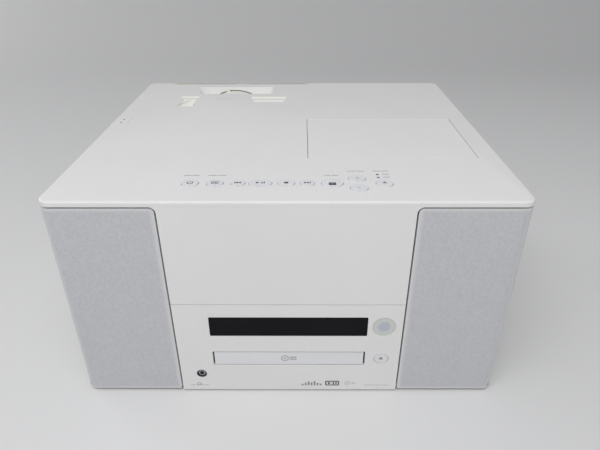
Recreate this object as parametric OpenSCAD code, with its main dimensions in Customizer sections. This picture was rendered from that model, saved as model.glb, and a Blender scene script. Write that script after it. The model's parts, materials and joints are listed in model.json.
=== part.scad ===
// Home projector with a built-in disc player and a pair of speakers.
// X runs to the viewer's right, the speakers and the disc tray face -Y, the lens faces +Y.
// The origin is on the table, under the middle of the case.

/* [Case] */
// Overall width
overall_w = 340; // [334:1:356]
// Overall depth
overall_d = 310; // [306:1:326]
// Overall height, from the table to the button tops
overall_h = 180; // [178:1:190]
// Thickness of the side walls
wall = 2.5; // [2:0.1:3]
// Thickness of the top plate
top_t = 3; // [2.6:0.1:3.6]
// Thickness of the floor
floor_t = 3.5; // [2.9:0.1:4]
// Radius of the upright corners
corner_r = 8.5; // [6:0.5:11]
// Radius of the rounded top edge
edge_r = 1.7; // [1.3:0.1:2.2]
// Height of the lip that stands over the grilles
lip_h = 4.3; // [4:0.1:5.5]
// Height of the case's lower edge above the table
skirt_h = 2.5; // [2.2:0.1:3.4]
// Height of the upper case, from the seam to the top
upper_h = 87.8; // [87:0.2:89.4]
// Width of the visible seams and of the gaps around loose covers
seam_gap = 0.4; // [0.3:0.05:0.6]
// Clearance between pieces that move past each other
clear = 0.35; // [0.3:0.01:0.4]
// Radial clearance of shafts, rods and pins
fit = 0.05; // [0.03:0.01:0.08]

/* [Speakers] */
// Half the width of the plain panel between the grilles
panel_half = 89; // [86:0.5:91]
// Dark gap between the panel and each grille
grille_gap = 1.3; // [1:0.1:2]
// How far a grille wraps round the side
grille_side = 70; // [66:1:72]
// Depth of the recess behind a grille
grille_depth = 12; // [10:0.5:13]
// Thickness of a grille
grille_t = 1.6; // [1.2:0.1:2]
// Radius of a grille's upright corner
grille_r = 7.5; // [6.5:0.5:9]
// Width of the baffle beside the hole for a speaker
speaker_edge = 6.5; // [5.5:0.5:8]
// Height of a speaker's centre above the seam
speaker_rise = 38; // [36:0.5:42]

/* [Front] */
// Width of the display window
window_w = 123.5; // [115:0.5:126]
// Height of the display window
window_h = 19; // [15:0.5:20]
// Height of the display window's middle above the middle of its band
window_rise = 2.15; // [1:0.05:4]
// How far the display window lies behind the panel
window_recess = 0.4; // [0.3:0.1:1.2]
// Width of the panel between the display window and the receiver
sensor_inner = 3.65; // [3.4:0.05:4.5]
// Width of the panel between the receiver and the grille
sensor_outer = 5.4; // [4.6:0.1:6.4]
// Width of the eject button
eject_w = 11.2; // [10:0.1:12]
// Height of the eject button
eject_h = 9.5; // [8:0.1:10.5]
// Distance of the headphone socket to the left of the middle
jack_x = 72.1; // [71:0.1:75]
// Height of the headphone socket
jack_z = 19.9; // [18:0.1:24]
// Radius of the headphone socket's collar
jack_r = 4.15; // [3.8:0.05:4.6]
// Radius of the bore for a 3.5 mm plug
jack_bore_r = 1.8; // [1.77:0.01:1.85]
// Depth of the bore for the plug
jack_bore_l = 14; // [13.5:0.1:14.5]

/* [Top] */
// How far the buttons stand above the top
button_proud = 0.6; // [0.4:0.1:0.8]
// Travel of every button
button_travel = 0.8; // [0.6:0.1:1]
// Distance of the button row from the front
button_row = 29; // [27:0.5:31]
// Spread between the two volume buttons
volume_pitch = 16; // [15:0.5:18]
// Distance of the lamp cover from the right side
cover_side = 18.5; // [17:0.5:19]
// Front edge of the lamp cover, from the front
cover_y = 76.5; // [76:0.5:78]
// Width of the lamp cover
cover_w = 136; // [132:0.5:138]
// Depth of the lamp cover
cover_d = 98.5; // [96:0.5:99]
// Thickness of the lamp cover
cover_t = 2.4; // [2:0.1:2.6]
// Depth of the pocket over the focus ring
pocket_depth = 8.4; // [8.2:0.1:8.6]

/* [Lens] */
// Distance of the lens axis from the right side
lens_side = 237; // [236:0.5:238]
// Depth of the lens axis under the top
lens_drop = 47.2; // [47:0.1:48]
// Outer radius of the focus ring
focus_r = 42.7; // [42.2:0.1:42.9]
// Length of the focus ring
focus_l = 13.6; // [12:0.1:14]
// Radius of the lens barrel where it slides
barrel_r = 30; // [28:0.5:31]
// Wall of the tube that carries the barrel
mount_wall = 6; // [5:0.5:7]
// Radius of the opening for the light beam in the back wall
beam_r = 34; // [32:0.5:35]

/* [Disc player] */
// Width of the slot for the tray
slot_w = 122.7; // [122:0.1:124]
// Height of the slot for the tray
slot_h = 14.6; // [14:0.1:15]
// Height of the slot's middle above the table
slot_z = 36.85; // [36.5:0.05:37.5]
// Diameter of a disc
disc_d = 120; // [120:0.1:120.5]
// Thickness of the tray
tray_t = 6.2; // [5.8:0.1:6.6]
// Depth of the well for the disc
well_depth = 2; // [1.8:0.1:2.2]
// Module of the tray's rack and gear
tooth_m = 1; // [0.9:0.05:1.1]
// Number of teeth on the tray's gear
gear_teeth = 20; // [18:1:22]
// Radius of the pulley under the gear
pulley_r = 14; // [12:0.5:14]
// Radius of the motor's pulley
motor_pulley_r = 5; // [4:0.5:6]

/* [Cooling] */
// Side of the square fan
fan_w = 80; // [76:1:80]
// Distance of the exhaust opening from the right side
exhaust_side = 20; // [18.5:0.5:20]
// Height of the case left over and under the exhaust opening
exhaust_margin = 9.75; // [9.25:0.25:12]
// Width of the filter
filter_w = 100; // [90:1:106]
// Height of the case left over and under the filter
filter_margin = 11.75; // [11.25:0.25:14]
// Thickness of the fan
fan_t = 20; // [15:0.5:22]
// Number of fan blades
fan_blades = 7; // [5:1:9]

/* [Hidden] */
$fn = 64;

// Main planes of the case
top_z = overall_h - button_proud;
seam_h = top_z - upper_h;
under_top = top_z - top_t;
lip_z = top_z - lip_h;
vent_z = (seam_h + lip_z) / 2;
floor_z = skirt_h + floor_t;
side_x = overall_w / 2;
front_y = -overall_d / 2;
back_y = overall_d / 2;
front_in = front_y + wall;
back_in = back_y - wall;
board_t = 1.6;

// Colours
white_case = [0.88, 0.88, 0.89];
grille_grey = [0.73, 0.74, 0.76];
button_white = [0.82, 0.82, 0.83];
dark_plastic = [0.14, 0.14, 0.15];
gloss_black = [0.03, 0.03, 0.04];
rubber_grey = [0.25, 0.25, 0.26];
board_green = [0.10, 0.35, 0.22];
zinc = [0.70, 0.71, 0.73];
magnesium = [0.55, 0.56, 0.58];
brass = [0.72, 0.58, 0.28];
glass_tint = [0.70, 0.82, 0.88, 0.6];

// ---- Shared shapes ----

module block(low, high) {
    translate(low) cube(high - low);
}

module along_y(x, y, z) {
    translate([x, y, z]) rotate([-90, 0, 0]) children();
}

module along_x(x, y, z) {
    translate([x, y, z]) rotate([0, 90, 0]) children();
}

// An outline drawn in X and Z, from y0 to y1
module front_prism(y0, y1) {
    translate([0, y1, 0]) rotate([90, 0, 0]) linear_extrude(y1 - y0) children();
}

module tube(outer, inner, length) {
    rotate_extrude() translate([inner, 0]) square([outer - inner, length]);
}

module rounded(w, d, r) {
    square([w - 2 * r, d], center = true);
    square([w, d - 2 * r], center = true);
    for (sx = [-1, 1], sy = [-1, 1])
        translate([sx * (w / 2 - r), sy * (d / 2 - r)]) circle(r);
}

// An oval with flat long sides, or a circle where both sizes are the same
module oval(w, d) {
    if (w > d) {
        square([w - d, d], center = true);
        for (s = [-1, 1]) translate([s * (w - d) / 2, 0]) circle(d / 2);
    } else {
        circle(w / 2);
    }
}

// A rectangle with its own radius at each corner: lower left, lower right, upper right, upper left
module cornered(x0, z0, x1, z1, radii) {
    spots = [[x0, z0, 1, 1], [x1, z0, -1, 1], [x1, z1, -1, -1], [x0, z1, 1, -1]];
    difference() {
        translate([x0, z0]) square([x1 - x0, z1 - z0]);
        for (i = [0:3])
            translate([spots[i][0], spots[i][1]])
                scale([spots[i][2], spots[i][3]])
                    difference() {
                        translate([-1, -1]) square(radii[i] + 1);
                        translate([radii[i], radii[i]]) circle(radii[i]);
                    }
    }
}

// ---- Case ----

grille_inner_r = 3.5;
grille_top_gap = 1.3;
grille_inset = 0.3;
alcove_r = grille_inner_r + grille_gap;

// Fillets that follow the rounded inner corners of the grilles
module alcove_fillets() {
    front_prism(front_y, front_y + grille_depth + 0.1)
        for (s = [0, 1]) mirror([s, 0]) difference() {
            translate([panel_half - 0.1, lip_z - alcove_r]) square(alcove_r + 0.1);
            translate([panel_half + alcove_r, lip_z - alcove_r]) circle(alcove_r);
        }
}

// The recess behind each grille, seen from above, grown by inset
module grille_recess(inset) {
    for (s = [0, 1]) mirror([s, 0]) {
        translate([panel_half - inset, front_y - 1])
            square([side_x, grille_depth + inset + 1]);
        translate([side_x - grille_depth - inset, front_y - 1])
            square([side_x, grille_side + inset + 1]);
    }
}

module case_outline(inset) {
    difference() {
        rounded(overall_w - 2 * inset, overall_d - 2 * inset, corner_r - inset);
        grille_recess(inset);
    }
}

// Quarter-round profile of the top edge, at the distance of the corner's centre
module edge_profile() {
    square([corner_r - edge_r, edge_r]);
    translate([corner_r - edge_r, 0]) intersection() {
        circle(edge_r);
        square(edge_r);
    }
}

module top_slab() {
    flat_w = overall_w - 2 * corner_r;
    flat_d = overall_d - 2 * corner_r;
    translate([0, 0, lip_z])
        linear_extrude(lip_h - edge_r) rounded(overall_w, overall_d, corner_r);
    translate([0, 0, top_z - edge_r]) {
        translate([-flat_w / 2, -flat_d / 2, 0]) cube([flat_w, flat_d, edge_r]);
        for (turn = [0, 180]) rotate(turn) {
            translate([flat_w / 2, flat_d / 2, 0]) rotate([90, 0, 0])
                linear_extrude(flat_d) edge_profile();
            translate([-flat_w / 2, flat_d / 2, 0]) rotate([90, 0, 90])
                linear_extrude(flat_w) edge_profile();
            translate([flat_w / 2, flat_d / 2, 0]) rotate_extrude(angle = 90) edge_profile();
            translate([-flat_w / 2, flat_d / 2, 0]) rotate(90)
                rotate_extrude(angle = 90) edge_profile();
        }
    }
}

// Screw posts: the upper case's posts stand on the lower case's towers
post_r = 5.5;
post_x = side_x - wall - post_r - 2;
post_front_y = front_y + grille_side + wall + post_r + 4;
post_back_y = back_y - wall - post_r - 2;
post_spots = [for (sx = [-1, 1], y = [post_front_y, post_back_y]) [sx * post_x, y]];
post_l = 16;
screw_r = 1.5;
screw_head_r = 3;
screw_head_t = 2.5;
screw_l = 20;
screw_hold = 12;

// Lens axis, and the pocket in the top over the focus ring
lens_x = lens_side - side_x;
lens_z = top_z - lens_drop;
pocket_y0 = back_y - 47.5;
pocket_y1 = back_y - 18;
focus_y1 = pocket_y1 - 0.6;
focus_y0 = focus_y1 - focus_l;
pocket_floor = top_z - pocket_depth;
pocket_left = [-lens_x - 43.5, -lens_x - 34.5];
pocket_right = -lens_x + 44;
pocket_wall = 2;
arch_gap = 0.8;

module pocket_outline(grow) {
    polygon([[pocket_left[0] - grow, pocket_y1 + grow], [pocket_right + grow, pocket_y1 + grow],
        [pocket_right + grow, pocket_y0 - grow], [pocket_left[1] - grow, pocket_y0 - grow]]);
}

// Space for the focus ring, and the arch in the pocket's rear wall behind its crown
module focus_space() {
    along_y(-lens_x, focus_y0 - 2 * clear, lens_z)
        cylinder(h = focus_l + 2 * clear, r = focus_r + 2 * clear);
    along_y(-lens_x, focus_y1, lens_z)
        cylinder(h = pocket_y1 - focus_y1 + pocket_wall + 0.1, r = focus_r + arch_gap);
}

// Bulkhead round the lens head
bulkhead_y0 = pocket_y1 + 5;
bulkhead_t = 2;
head_r = barrel_r + 3;

module bulkhead() {
    half = 46;
    front_prism(bulkhead_y0, bulkhead_y0 + bulkhead_t) difference() {
        translate([-lens_x - half, seam_h + 1]) square([2 * half, under_top - seam_h]);
        translate([-lens_x, lens_z]) circle(head_r + 2);
    }
}

// Lens shutter and its rails
shutter_h = 2 * beam_r + 5;
shutter_w = 2 * beam_r + 16;
shutter_t = 3;
shutter_travel = shutter_w;
shutter_y1 = back_in - clear;
shutter_y0 = shutter_y1 - shutter_t;
rail_h = 3;
rail_lip = 2.5;
knob_w = 8;
knob_h = 11;
knob_drop = 22;
knob_x = shutter_w / 2 - knob_w / 2;

// Rails over and under the shutter, with a stop at the end where it is shut
module shutter_rails() {
    stop_x = -lens_x - shutter_w / 2 - clear;
    x0 = stop_x - 2;
    x1 = -lens_x + shutter_w / 2 + shutter_travel;
    lip_y0 = shutter_y0 - clear - rail_lip;
    for (s = [-1, 1]) {
        inner = lens_z + s * (shutter_h / 2 + clear);
        outer = inner + s * rail_h;
        hook = inner - s * rail_h;
        block([x0, lip_y0, min(inner, outer)], [x1, back_in + 0.1, max(inner, outer)]);
        block([x0, lip_y0, min(hook, outer)], [x1, lip_y0 + rail_lip, max(hook, outer)]);
    }
    stop_h = shutter_h + 2 * clear + rail_h;
    block([x0, lip_y0, lens_z - stop_h / 2], [stop_x, back_in + 0.1, lens_z + stop_h / 2]);
}

module shutter_openings() {
    along_y(-lens_x, back_in - 1, lens_z) cylinder(h = wall + 2, r = beam_r);
    slot_x0 = -lens_x + knob_x - knob_w / 2 - clear;
    front_prism(back_in - 1, back_y + 1)
        translate([slot_x0, lens_z - knob_drop - knob_h / 2 - clear])
            square([shutter_travel + knob_w + 2 * clear, knob_h + 2 * clear]);
}

// Exhaust opening in the back wall, between the open shutter and the right side
exhaust_w = fan_w + 4;
exhaust_h = lip_z - seam_h - 2 * exhaust_margin;
exhaust_rim = 2;
exhaust_flange = 3;
fan_x = side_x - exhaust_side - exhaust_w / 2;

// Filter opening in the left wall
filter_h = lip_z - seam_h - 2 * filter_margin;
filter_y = 0;
filter_ledge = 4;
filter_ledge_t = 2.5;
filter_t = 8;

module filter_frame() {
    along_x(-side_x + wall - 0.01, filter_y, vent_z) difference() {
        linear_extrude(filter_ledge_t + 0.01) square([filter_h + 8, filter_w + 8], center = true);
        translate([0, 0, -1]) linear_extrude(filter_ledge_t + 3)
            square([filter_h - 2 * filter_ledge, filter_w - 2 * filter_ledge], center = true);
    }
}

// Lamp cover's place
cover_x = side_x - cover_side - cover_w;
lamp_y0 = front_y + cover_y;
ledge_w = 3.6;
ledge_t = 2.5;

module lamp_ledge() {
    low_z = top_z - cover_t - ledge_t;
    block([cover_x - ledge_w, lamp_y0 - ledge_w, low_z],
        [cover_x + cover_w + ledge_w, lamp_y0 + cover_d + ledge_w, under_top + 0.1]);
}

module lamp_opening() {
    low_z = top_z - cover_t - ledge_t;
    block([cover_x + ledge_w, lamp_y0 + ledge_w, low_z - 1],
        [cover_x + cover_w - ledge_w, lamp_y0 + cover_d - ledge_w, top_z + 1]);
    block([cover_x - seam_gap, lamp_y0 - seam_gap, top_z - cover_t],
        [cover_x + cover_w + seam_gap, lamp_y0 + cover_d + seam_gap, top_z + 1]);
}

// Top buttons: distance to the right of the middle, distance from the front, width, depth
volume_y = button_row + volume_pitch / 2;
buttons = [
    [-70.2, button_row, 12, 12],
    [-52.2, button_row, 12, 10],
    [-35.7, button_row, 10.4, 9],
    [-19.5, button_row, 16.6, 9.4],
    [-0.8, button_row, 12.4, 10],
    [14.4, button_row, 10.4, 9],
    [32.4, button_row, 15.6, 12],
    [51, volume_y, 12.4, 9.4],
    [51, volume_y - volume_pitch, 12.4, 9.4],
    [70, button_row, 12, 12]
];
lights = [[66.7, button_row + 15.5], [66.7, button_row + 10]];
light_r = 1.5;
button_flange = 1.2;
button_flange_t = 1.2;
button_board_z = under_top - 14;
board_post_x = panel_half - 10;
board_posts = [for (x = [-board_post_x, board_post_x], y = [button_row - 14, button_row + 19])
    [x, front_y + y]];

module push_button(i) {
    b = buttons[i];
    flange_z = under_top - clear - button_flange_t;
    switch_gap = button_travel + clear;
    translate([b[0], front_y + b[1], 0]) {
        translate([0, 0, flange_z + button_flange_t])
            linear_extrude(overall_h - flange_z - button_flange_t) oval(b[2], b[3]);
        translate([0, 0, flange_z])
            linear_extrude(button_flange_t + 0.01)
                oval(b[2] + 2 * button_flange, b[3] + 2 * button_flange);
        translate([0, 0, button_board_z + switch_h + switch_gap])
            cylinder(h = flange_z - button_board_z - switch_h - switch_gap + 0.01, r = 1.8);
    }
}

switch_h = 3;
switch_w = 6;

module upper_case() {
    color(white_case) difference() {
        union() {
            difference() {
                union() {
                    top_slab();
                    translate([0, 0, seam_h + seam_gap])
                        linear_extrude(lip_z - seam_h - seam_gap + 0.01) case_outline(0);
                }
                translate([0, 0, seam_h - 1])
                    linear_extrude(under_top - seam_h + 1) case_outline(wall);
            }
            translate([0, 0, pocket_floor - pocket_wall])
                linear_extrude(under_top - pocket_floor + pocket_wall + 0.1)
                    pocket_outline(pocket_wall);
            alcove_fillets();
            bulkhead();
            shutter_rails();
            filter_frame();
            lamp_ledge();
            for (p = post_spots)
                translate([p[0], p[1], seam_h]) cylinder(h = post_l, r = post_r);
            for (p = post_spots)
                block([p[0] - 1, p[1] - 1, seam_h + post_l - 1],
                    [p[0] + 1, p[1] + 1, under_top + 0.1]);
            for (p = board_posts)
                translate([p[0], p[1], button_board_z + board_t])
                    cylinder(h = under_top - button_board_z - board_t + 0.1, r = 3);
        }
        translate([0, 0, pocket_floor])
            linear_extrude(pocket_depth + 1) pocket_outline(0);
        focus_space();
        shutter_openings();
        lamp_opening();
        front_prism(back_in - 1, back_y + 1)
            translate([fan_x, vent_z]) square([exhaust_w, exhaust_h], center = true);
        along_x(-side_x - 1, filter_y, vent_z)
            linear_extrude(wall + 1)
                square([filter_h + 2 * seam_gap, filter_w + 2 * seam_gap], center = true);
        for (b = buttons)
            translate([b[0], front_y + b[1], under_top - 1])
                linear_extrude(top_t + 2) oval(b[2] + 2 * clear, b[3] + 2 * clear);
        for (l = lights)
            translate([l[0], front_y + l[1], under_top - 1])
                cylinder(h = top_t + 2, r = light_r + fit);
        for (p = post_spots)
            translate([p[0], p[1], seam_h - 1]) cylinder(h = screw_hold + 2, r = screw_r + fit);
        for (s = [-1, 1])
            along_y(s * speaker_x, front_y + grille_depth - 1, speaker_z)
                cylinder(h = wall + 2, r = speaker_r);
    }
}

// The display window lies in the band between the tray's slot and the seam
window_z = (slot_z + slot_h / 2 + seam_h) / 2 + window_rise;

// The remote control receiver fills the panel beside the display window
sensor_r = (panel_half - sensor_outer - window_w / 2 - sensor_inner) / 2;
sensor_x = window_w / 2 + sensor_inner + sensor_r;

// Speakers sit on the baffle behind each grille
speaker_x = (panel_half + side_x - grille_depth) / 2;
speaker_r = (side_x - grille_depth - panel_half) / 2 - speaker_edge;
speaker_z = seam_h + speaker_rise;
baffle_back = front_y + grille_depth + wall;

// Sockets on the back
inlet_x = -side_x + 54;
inlet_z = 30;
inlet_w = 30;
inlet_h = 24;
socket_x = side_x - 60;
socket_w = 76;
socket_h = 36;
socket_z = 34;

// Feet
foot_r = 9;
foot_x = side_x - 40;
foot_front_y = front_y + 30;
foot_back_y = back_y - 35;
stem_r = 4;
stem_boss_h = 18;

// Boards on short posts
board_post_h = 6;
board_x0 = 72;
board_x1 = foot_x - stem_r - 8;
board_y0 = -28;
board_y1 = back_in - 16;
bay_posts = [for (s = [-1, 1], x = [board_x0 + 5, board_x1 - 5], y = [board_y0 + 5, board_y1 - 5])
    [s * x, y]];

module front_openings() {
    front_prism(front_y - 1, front_in + 1) {
        translate([0, window_z]) rounded(window_w, window_h, 1);
        translate([0, slot_z]) rounded(slot_w, slot_h, 0.8);
        translate([sensor_x, window_z]) circle(sensor_r + fit);
        translate([sensor_x, slot_z]) oval(eject_w + 2 * clear, eject_h + 2 * clear);
        translate([-jack_x, jack_z]) circle(jack_r + fit);
    }
}

module lower_case() {
    floor_in = 2 * (grille_t + 1 + seam_gap);
    apron_h = 1;
    color(white_case) difference() {
        union() {
            difference() {
                translate([0, 0, skirt_h]) linear_extrude(seam_h - skirt_h) case_outline(0);
                translate([0, 0, floor_z]) linear_extrude(seam_h) case_outline(wall);
            }
            translate([0, 0, skirt_h])
                linear_extrude(floor_t) rounded(overall_w - floor_in, overall_d - floor_in, corner_r);
            block([-panel_half, front_y, skirt_h - apron_h], [panel_half, front_y + wall, floor_z]);
            for (p = post_spots)
                translate([p[0], p[1], skirt_h]) cylinder(h = seam_h - skirt_h, r = post_r);
            for (s = [-1, 1])
                translate([s * foot_x, foot_back_y, skirt_h])
                    cylinder(h = floor_t + stem_boss_h, r = stem_r + 3);
            for (p = bay_posts)
                translate([p[0], p[1], floor_z - 0.1]) cylinder(h = board_post_h + 0.1, r = 3);
        }
        front_openings();
        for (p = post_spots) {
            translate([p[0], p[1], skirt_h - 1])
                cylinder(h = seam_h - screw_l + screw_hold - skirt_h + 1, r = screw_head_r + 0.4);
            translate([p[0], p[1], skirt_h]) cylinder(h = seam_h, r = screw_r + fit);
        }
        for (s = [-1, 1]) {
            translate([s * foot_x, foot_back_y, skirt_h - 1])
                cylinder(h = floor_t + stem_boss_h + 2, r = stem_r + fit);
            translate([s * foot_x, foot_front_y, skirt_h - 1])
                cylinder(h = floor_t + 2, r = foot_pin_r + fit);
        }
        front_prism(back_in - 1, back_y + 1) {
            translate([inlet_x, inlet_z]) square([inlet_w, inlet_h], center = true);
            translate([socket_x, socket_z]) square([socket_w, socket_h], center = true);
        }
    }
}

module grille() {
    x0 = panel_half + grille_gap;
    x1 = side_x - grille_inset;
    y1 = front_y + grille_side - seam_gap;
    front = front_y + 0.5;
    w = 2 * x1;
    d = overall_d - 1;
    top = lip_z - grille_top_gap;
    color(grille_grey) {
        intersection() {
            translate([0, 0, skirt_h]) linear_extrude(top - skirt_h) intersection() {
                difference() {
                    rounded(w, d, grille_r);
                    intersection() {
                        rounded(w - 2 * grille_t, d - 2 * grille_t, grille_r - grille_t);
                        translate([x0 + grille_t, front_y])
                            square([side_x, grille_side - seam_gap - grille_t]);
                    }
                }
                translate([x0, front_y]) square([side_x, y1 - front_y]);
                grille_recess(-seam_gap);
            }
            front_prism(front_y, y1 + 1) cornered(x0, skirt_h, x1, top, [2, 2.8, 2, grille_inner_r]);
            difference() {
                block([x0 - 1, front_y, 0], [side_x, y1 + 1, top_z]);
                block([x0 - 2, front + grille_t, -1], [x1 - grille_t, y1 + 2, floor_z + seam_gap]);
            }
        }
        for (x = [x0 + 8, side_x - grille_depth - 8], z = [skirt_h + 10, top - 10])
            along_y(x, front + grille_t - 0.1, z)
                cylinder(h = front_y + grille_depth - front - grille_t + 0.1, r = 2.5);
    }
}

module left_grille() {
    mirror([1, 0, 0]) grille();
}

module right_grille() {
    grille();
}

module lamp_cover() {
    skirt = 3;
    low_z = top_z - cover_t;
    color(white_case) {
        block([cover_x, lamp_y0, low_z], [cover_x + cover_w, lamp_y0 + cover_d, top_z]);
        difference() {
            block([cover_x + ledge_w + clear, lamp_y0 + ledge_w + clear, low_z - skirt],
                [cover_x + cover_w - ledge_w - clear, lamp_y0 + cover_d - ledge_w - clear,
                    low_z + 0.1]);
            block([cover_x + ledge_w + clear + 2, lamp_y0 + ledge_w + clear + 2, low_z - skirt - 1],
                [cover_x + cover_w - ledge_w - clear - 2, lamp_y0 + cover_d - ledge_w - clear - 2,
                    low_z]);
        }
    }
}

module filter_cover() {
    slots = 8;
    pitch = (filter_h - 12) / slots;
    color(white_case) along_x(-side_x, filter_y, vent_z) difference() {
        linear_extrude(wall - clear) square([filter_h, filter_w], center = true);
        for (i = [0:slots - 1])
            translate([(i - (slots - 1) / 2) * pitch, 0, -1])
                linear_extrude(wall + 2) square([pitch * 0.5, filter_w - 16], center = true);
    }
}

module air_filter() {
    color(rubber_grey) along_x(-side_x + wall + filter_ledge_t, filter_y, vent_z)
        linear_extrude(filter_t) square([filter_h, filter_w], center = true);
}

module exhaust_grille() {
    slats = 9;
    pitch = (exhaust_h - 2 * exhaust_rim) / slats;
    flange_t = 2;
    color(white_case) {
        front_prism(back_in - flange_t, back_in) translate([fan_x, vent_z]) difference() {
            square([exhaust_w + 2 * exhaust_flange, exhaust_h + 2 * exhaust_flange], center = true);
            square([exhaust_w - 2 * exhaust_rim, exhaust_h - 2 * exhaust_rim], center = true);
        }
        front_prism(back_in - flange_t, back_y) translate([fan_x, vent_z]) difference() {
            square([exhaust_w - 2 * fit, exhaust_h - 2 * fit], center = true);
            square([exhaust_w - 2 * exhaust_rim, exhaust_h - 2 * exhaust_rim], center = true);
        }
        for (i = [0.5:slats - 0.5])
            translate([fan_x, back_in + wall / 2, vent_z + (i - slats / 2) * pitch])
                rotate([-30, 0, 0]) cube([exhaust_w - exhaust_rim, wall - 0.5, 1.2], center = true);
        for (x = [-exhaust_w / 6, exhaust_w / 6])
            block([fan_x + x - 0.8, back_in - flange_t, vent_z - exhaust_h / 2 + exhaust_rim - 0.1],
                [fan_x + x + 0.8, back_in, vent_z + exhaust_h / 2 - exhaust_rim + 0.1]);
    }
}

module case_screws() {
    head_top = seam_h - screw_l + screw_hold;
    color(zinc) for (p = post_spots) translate([p[0], p[1], 0]) {
        translate([0, 0, head_top - screw_head_t]) difference() {
            cylinder(h = screw_head_t, r = screw_head_r);
            for (turn = [0, 90]) rotate(turn)
                translate([-screw_head_r * 0.6, -0.4, -1])
                    cube([screw_head_r * 1.2, 0.8, 2.2]);
        }
        translate([0, 0, head_top - 0.1]) cylinder(h = screw_l - 0.4, r = screw_r);
    }
}

foot_pin_r = 2.5;

module fixed_feet() {
    color(rubber_grey) for (s = [-1, 1]) translate([s * foot_x, foot_front_y, 0]) {
        rotate_extrude() polygon([[0, 0], [foot_r - 1, 0], [foot_r, 1], [foot_r, skirt_h],
            [foot_pin_r, skirt_h], [foot_pin_r, floor_z + 1], [0, floor_z + 1]]);
    }
}

module screw_foot(side) {
    pad_t = skirt_h - clear;
    color(rubber_grey) translate([side * foot_x, foot_back_y, 0])
        rotate_extrude() polygon([[0, 0], [foot_r - 1, 0], [foot_r, 1], [foot_r, pad_t],
            [stem_r, pad_t], [stem_r, floor_z + stem_boss_h - 1], [0, floor_z + stem_boss_h - 1]]);
}

module left_foot() {
    screw_foot(-1);
}

module right_foot() {
    screw_foot(1);
}

// ---- Front panel ----

front_board_y = front_in + 12;
display_t = 6;

module display_window() {
    window_y = front_y + window_recess;
    lens_t = 1.8;
    color(gloss_black) {
        front_prism(window_y, front_in) translate([0, window_z])
            rounded(window_w - 2 * fit, window_h - 2 * fit, 0.9);
        front_prism(front_in, front_in + lens_t) translate([0, window_z])
            rounded(window_w + 4, window_h + 4, 1);
    }
}

module display_panel() {
    color(dark_plastic)
        block([-window_w / 2 + 8, front_board_y - display_t, window_z - window_h / 2 + 1],
            [window_w / 2 - 8, front_board_y, window_z + window_h / 2 - 1]);
    color(gloss_black)
        block([-window_w / 2 + 12, front_in + 2.1, window_z - window_h / 2 + 2],
            [window_w / 2 - 12, front_board_y - display_t + 0.1, window_z + window_h / 2 - 2]);
}

module front_board() {
    half = panel_half - wall - 1;
    color(board_green) front_prism(front_board_y, front_board_y + board_t) difference() {
        translate([-half, jack_z - 8]) square([2 * half, window_z + window_h / 2 + 5 - jack_z + 8]);
        translate([-loader_half - 1, 0]) square([2 * loader_half + 2, bridge_z + 8]);
    }
    color(dark_plastic)
        block([sensor_x - switch_w / 2, front_board_y - switch_h, slot_z - switch_w / 2],
            [sensor_x + switch_w / 2, front_board_y + 0.1, slot_z + switch_w / 2]);
    color(dark_plastic)
        block([sensor_x - 4, front_board_y - 7, window_z - 4],
            [sensor_x + 4, front_board_y + 0.1, window_z + 4]);
    for (s = [-1, 1]) color(dark_plastic)
        along_y(s * (half - 4), front_in, window_z + window_h / 2 + 3)
            cylinder(h = front_board_y - front_in + 0.1, r = 2);
}

module sensor_window() {
    color(glass_tint) {
        along_y(sensor_x, front_y + 0.3, window_z) cylinder(h = wall - 0.3, r = sensor_r);
        along_y(sensor_x, front_in, window_z) cylinder(h = 1.5, r = sensor_r + 1.2);
    }
}

module eject_button() {
    flange_y = front_in + clear;
    stem_end = front_board_y - switch_h - button_travel - clear;
    color(button_white) {
        front_prism(front_y, flange_y) translate([sensor_x, slot_z]) oval(eject_w, eject_h);
        front_prism(flange_y - 0.01, flange_y + button_flange_t) translate([sensor_x, slot_z])
            oval(eject_w + 2, eject_h + 2);
        along_y(sensor_x, flange_y, slot_z) cylinder(h = stem_end - flange_y, r = 1.8);
    }
}

module headphone_jack() {
    body_w = 10;
    jack_mouth_y = front_in + 0.3;
    color(dark_plastic) difference() {
        union() {
            along_y(-jack_x, front_y + 0.2, jack_z) cylinder(h = wall, r = jack_r);
            block([-jack_x - body_w / 2, front_in, jack_z - body_w / 2],
                [-jack_x + body_w / 2, front_board_y, jack_z + body_w / 2]);
        }
        along_y(-jack_x, front_y - 1, jack_z)
            cylinder(h = jack_bore_l + 1.2, r = jack_bore_r);
        along_y(-jack_x, front_y - 1, jack_z)
            cylinder(h = jack_mouth_y - front_y + 1, r1 = 3.4, r2 = 3);
    }
}

// ---- Buttons on the top ----

module power_button() {
    color(button_white) push_button(0);
}

module source_button() {
    color(button_white) push_button(1);
}

module previous_button() {
    color(button_white) push_button(2);
}

module play_button() {
    color(button_white) push_button(3);
}

module stop_button() {
    color(button_white) push_button(4);
}

module next_button() {
    color(button_white) push_button(5);
}

module menu_button() {
    color(button_white) push_button(6);
}

module volume_up_button() {
    color(button_white) push_button(7);
}

module volume_down_button() {
    color(button_white) push_button(8);
}

module brightness_button() {
    color(button_white) push_button(9);
}

module status_lights() {
    color(glass_tint) for (l = lights)
        translate([l[0], front_y + l[1], button_board_z + board_t])
            cylinder(h = top_z - button_board_z - board_t, r = light_r);
}

module button_board() {
    color(board_green)
        block([board_posts[0][0] - 5, front_y + button_row - 18, button_board_z],
            [board_posts[3][0] + 5, front_y + button_row + 23, button_board_z + board_t]);
    color(dark_plastic) for (b = buttons)
        block([b[0] - switch_w / 2, front_y + b[1] - switch_w / 2, button_board_z + board_t - 0.1],
            [b[0] + switch_w / 2, front_y + b[1] + switch_w / 2, button_board_z + switch_h]);
}

// ---- Disc player ----

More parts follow.
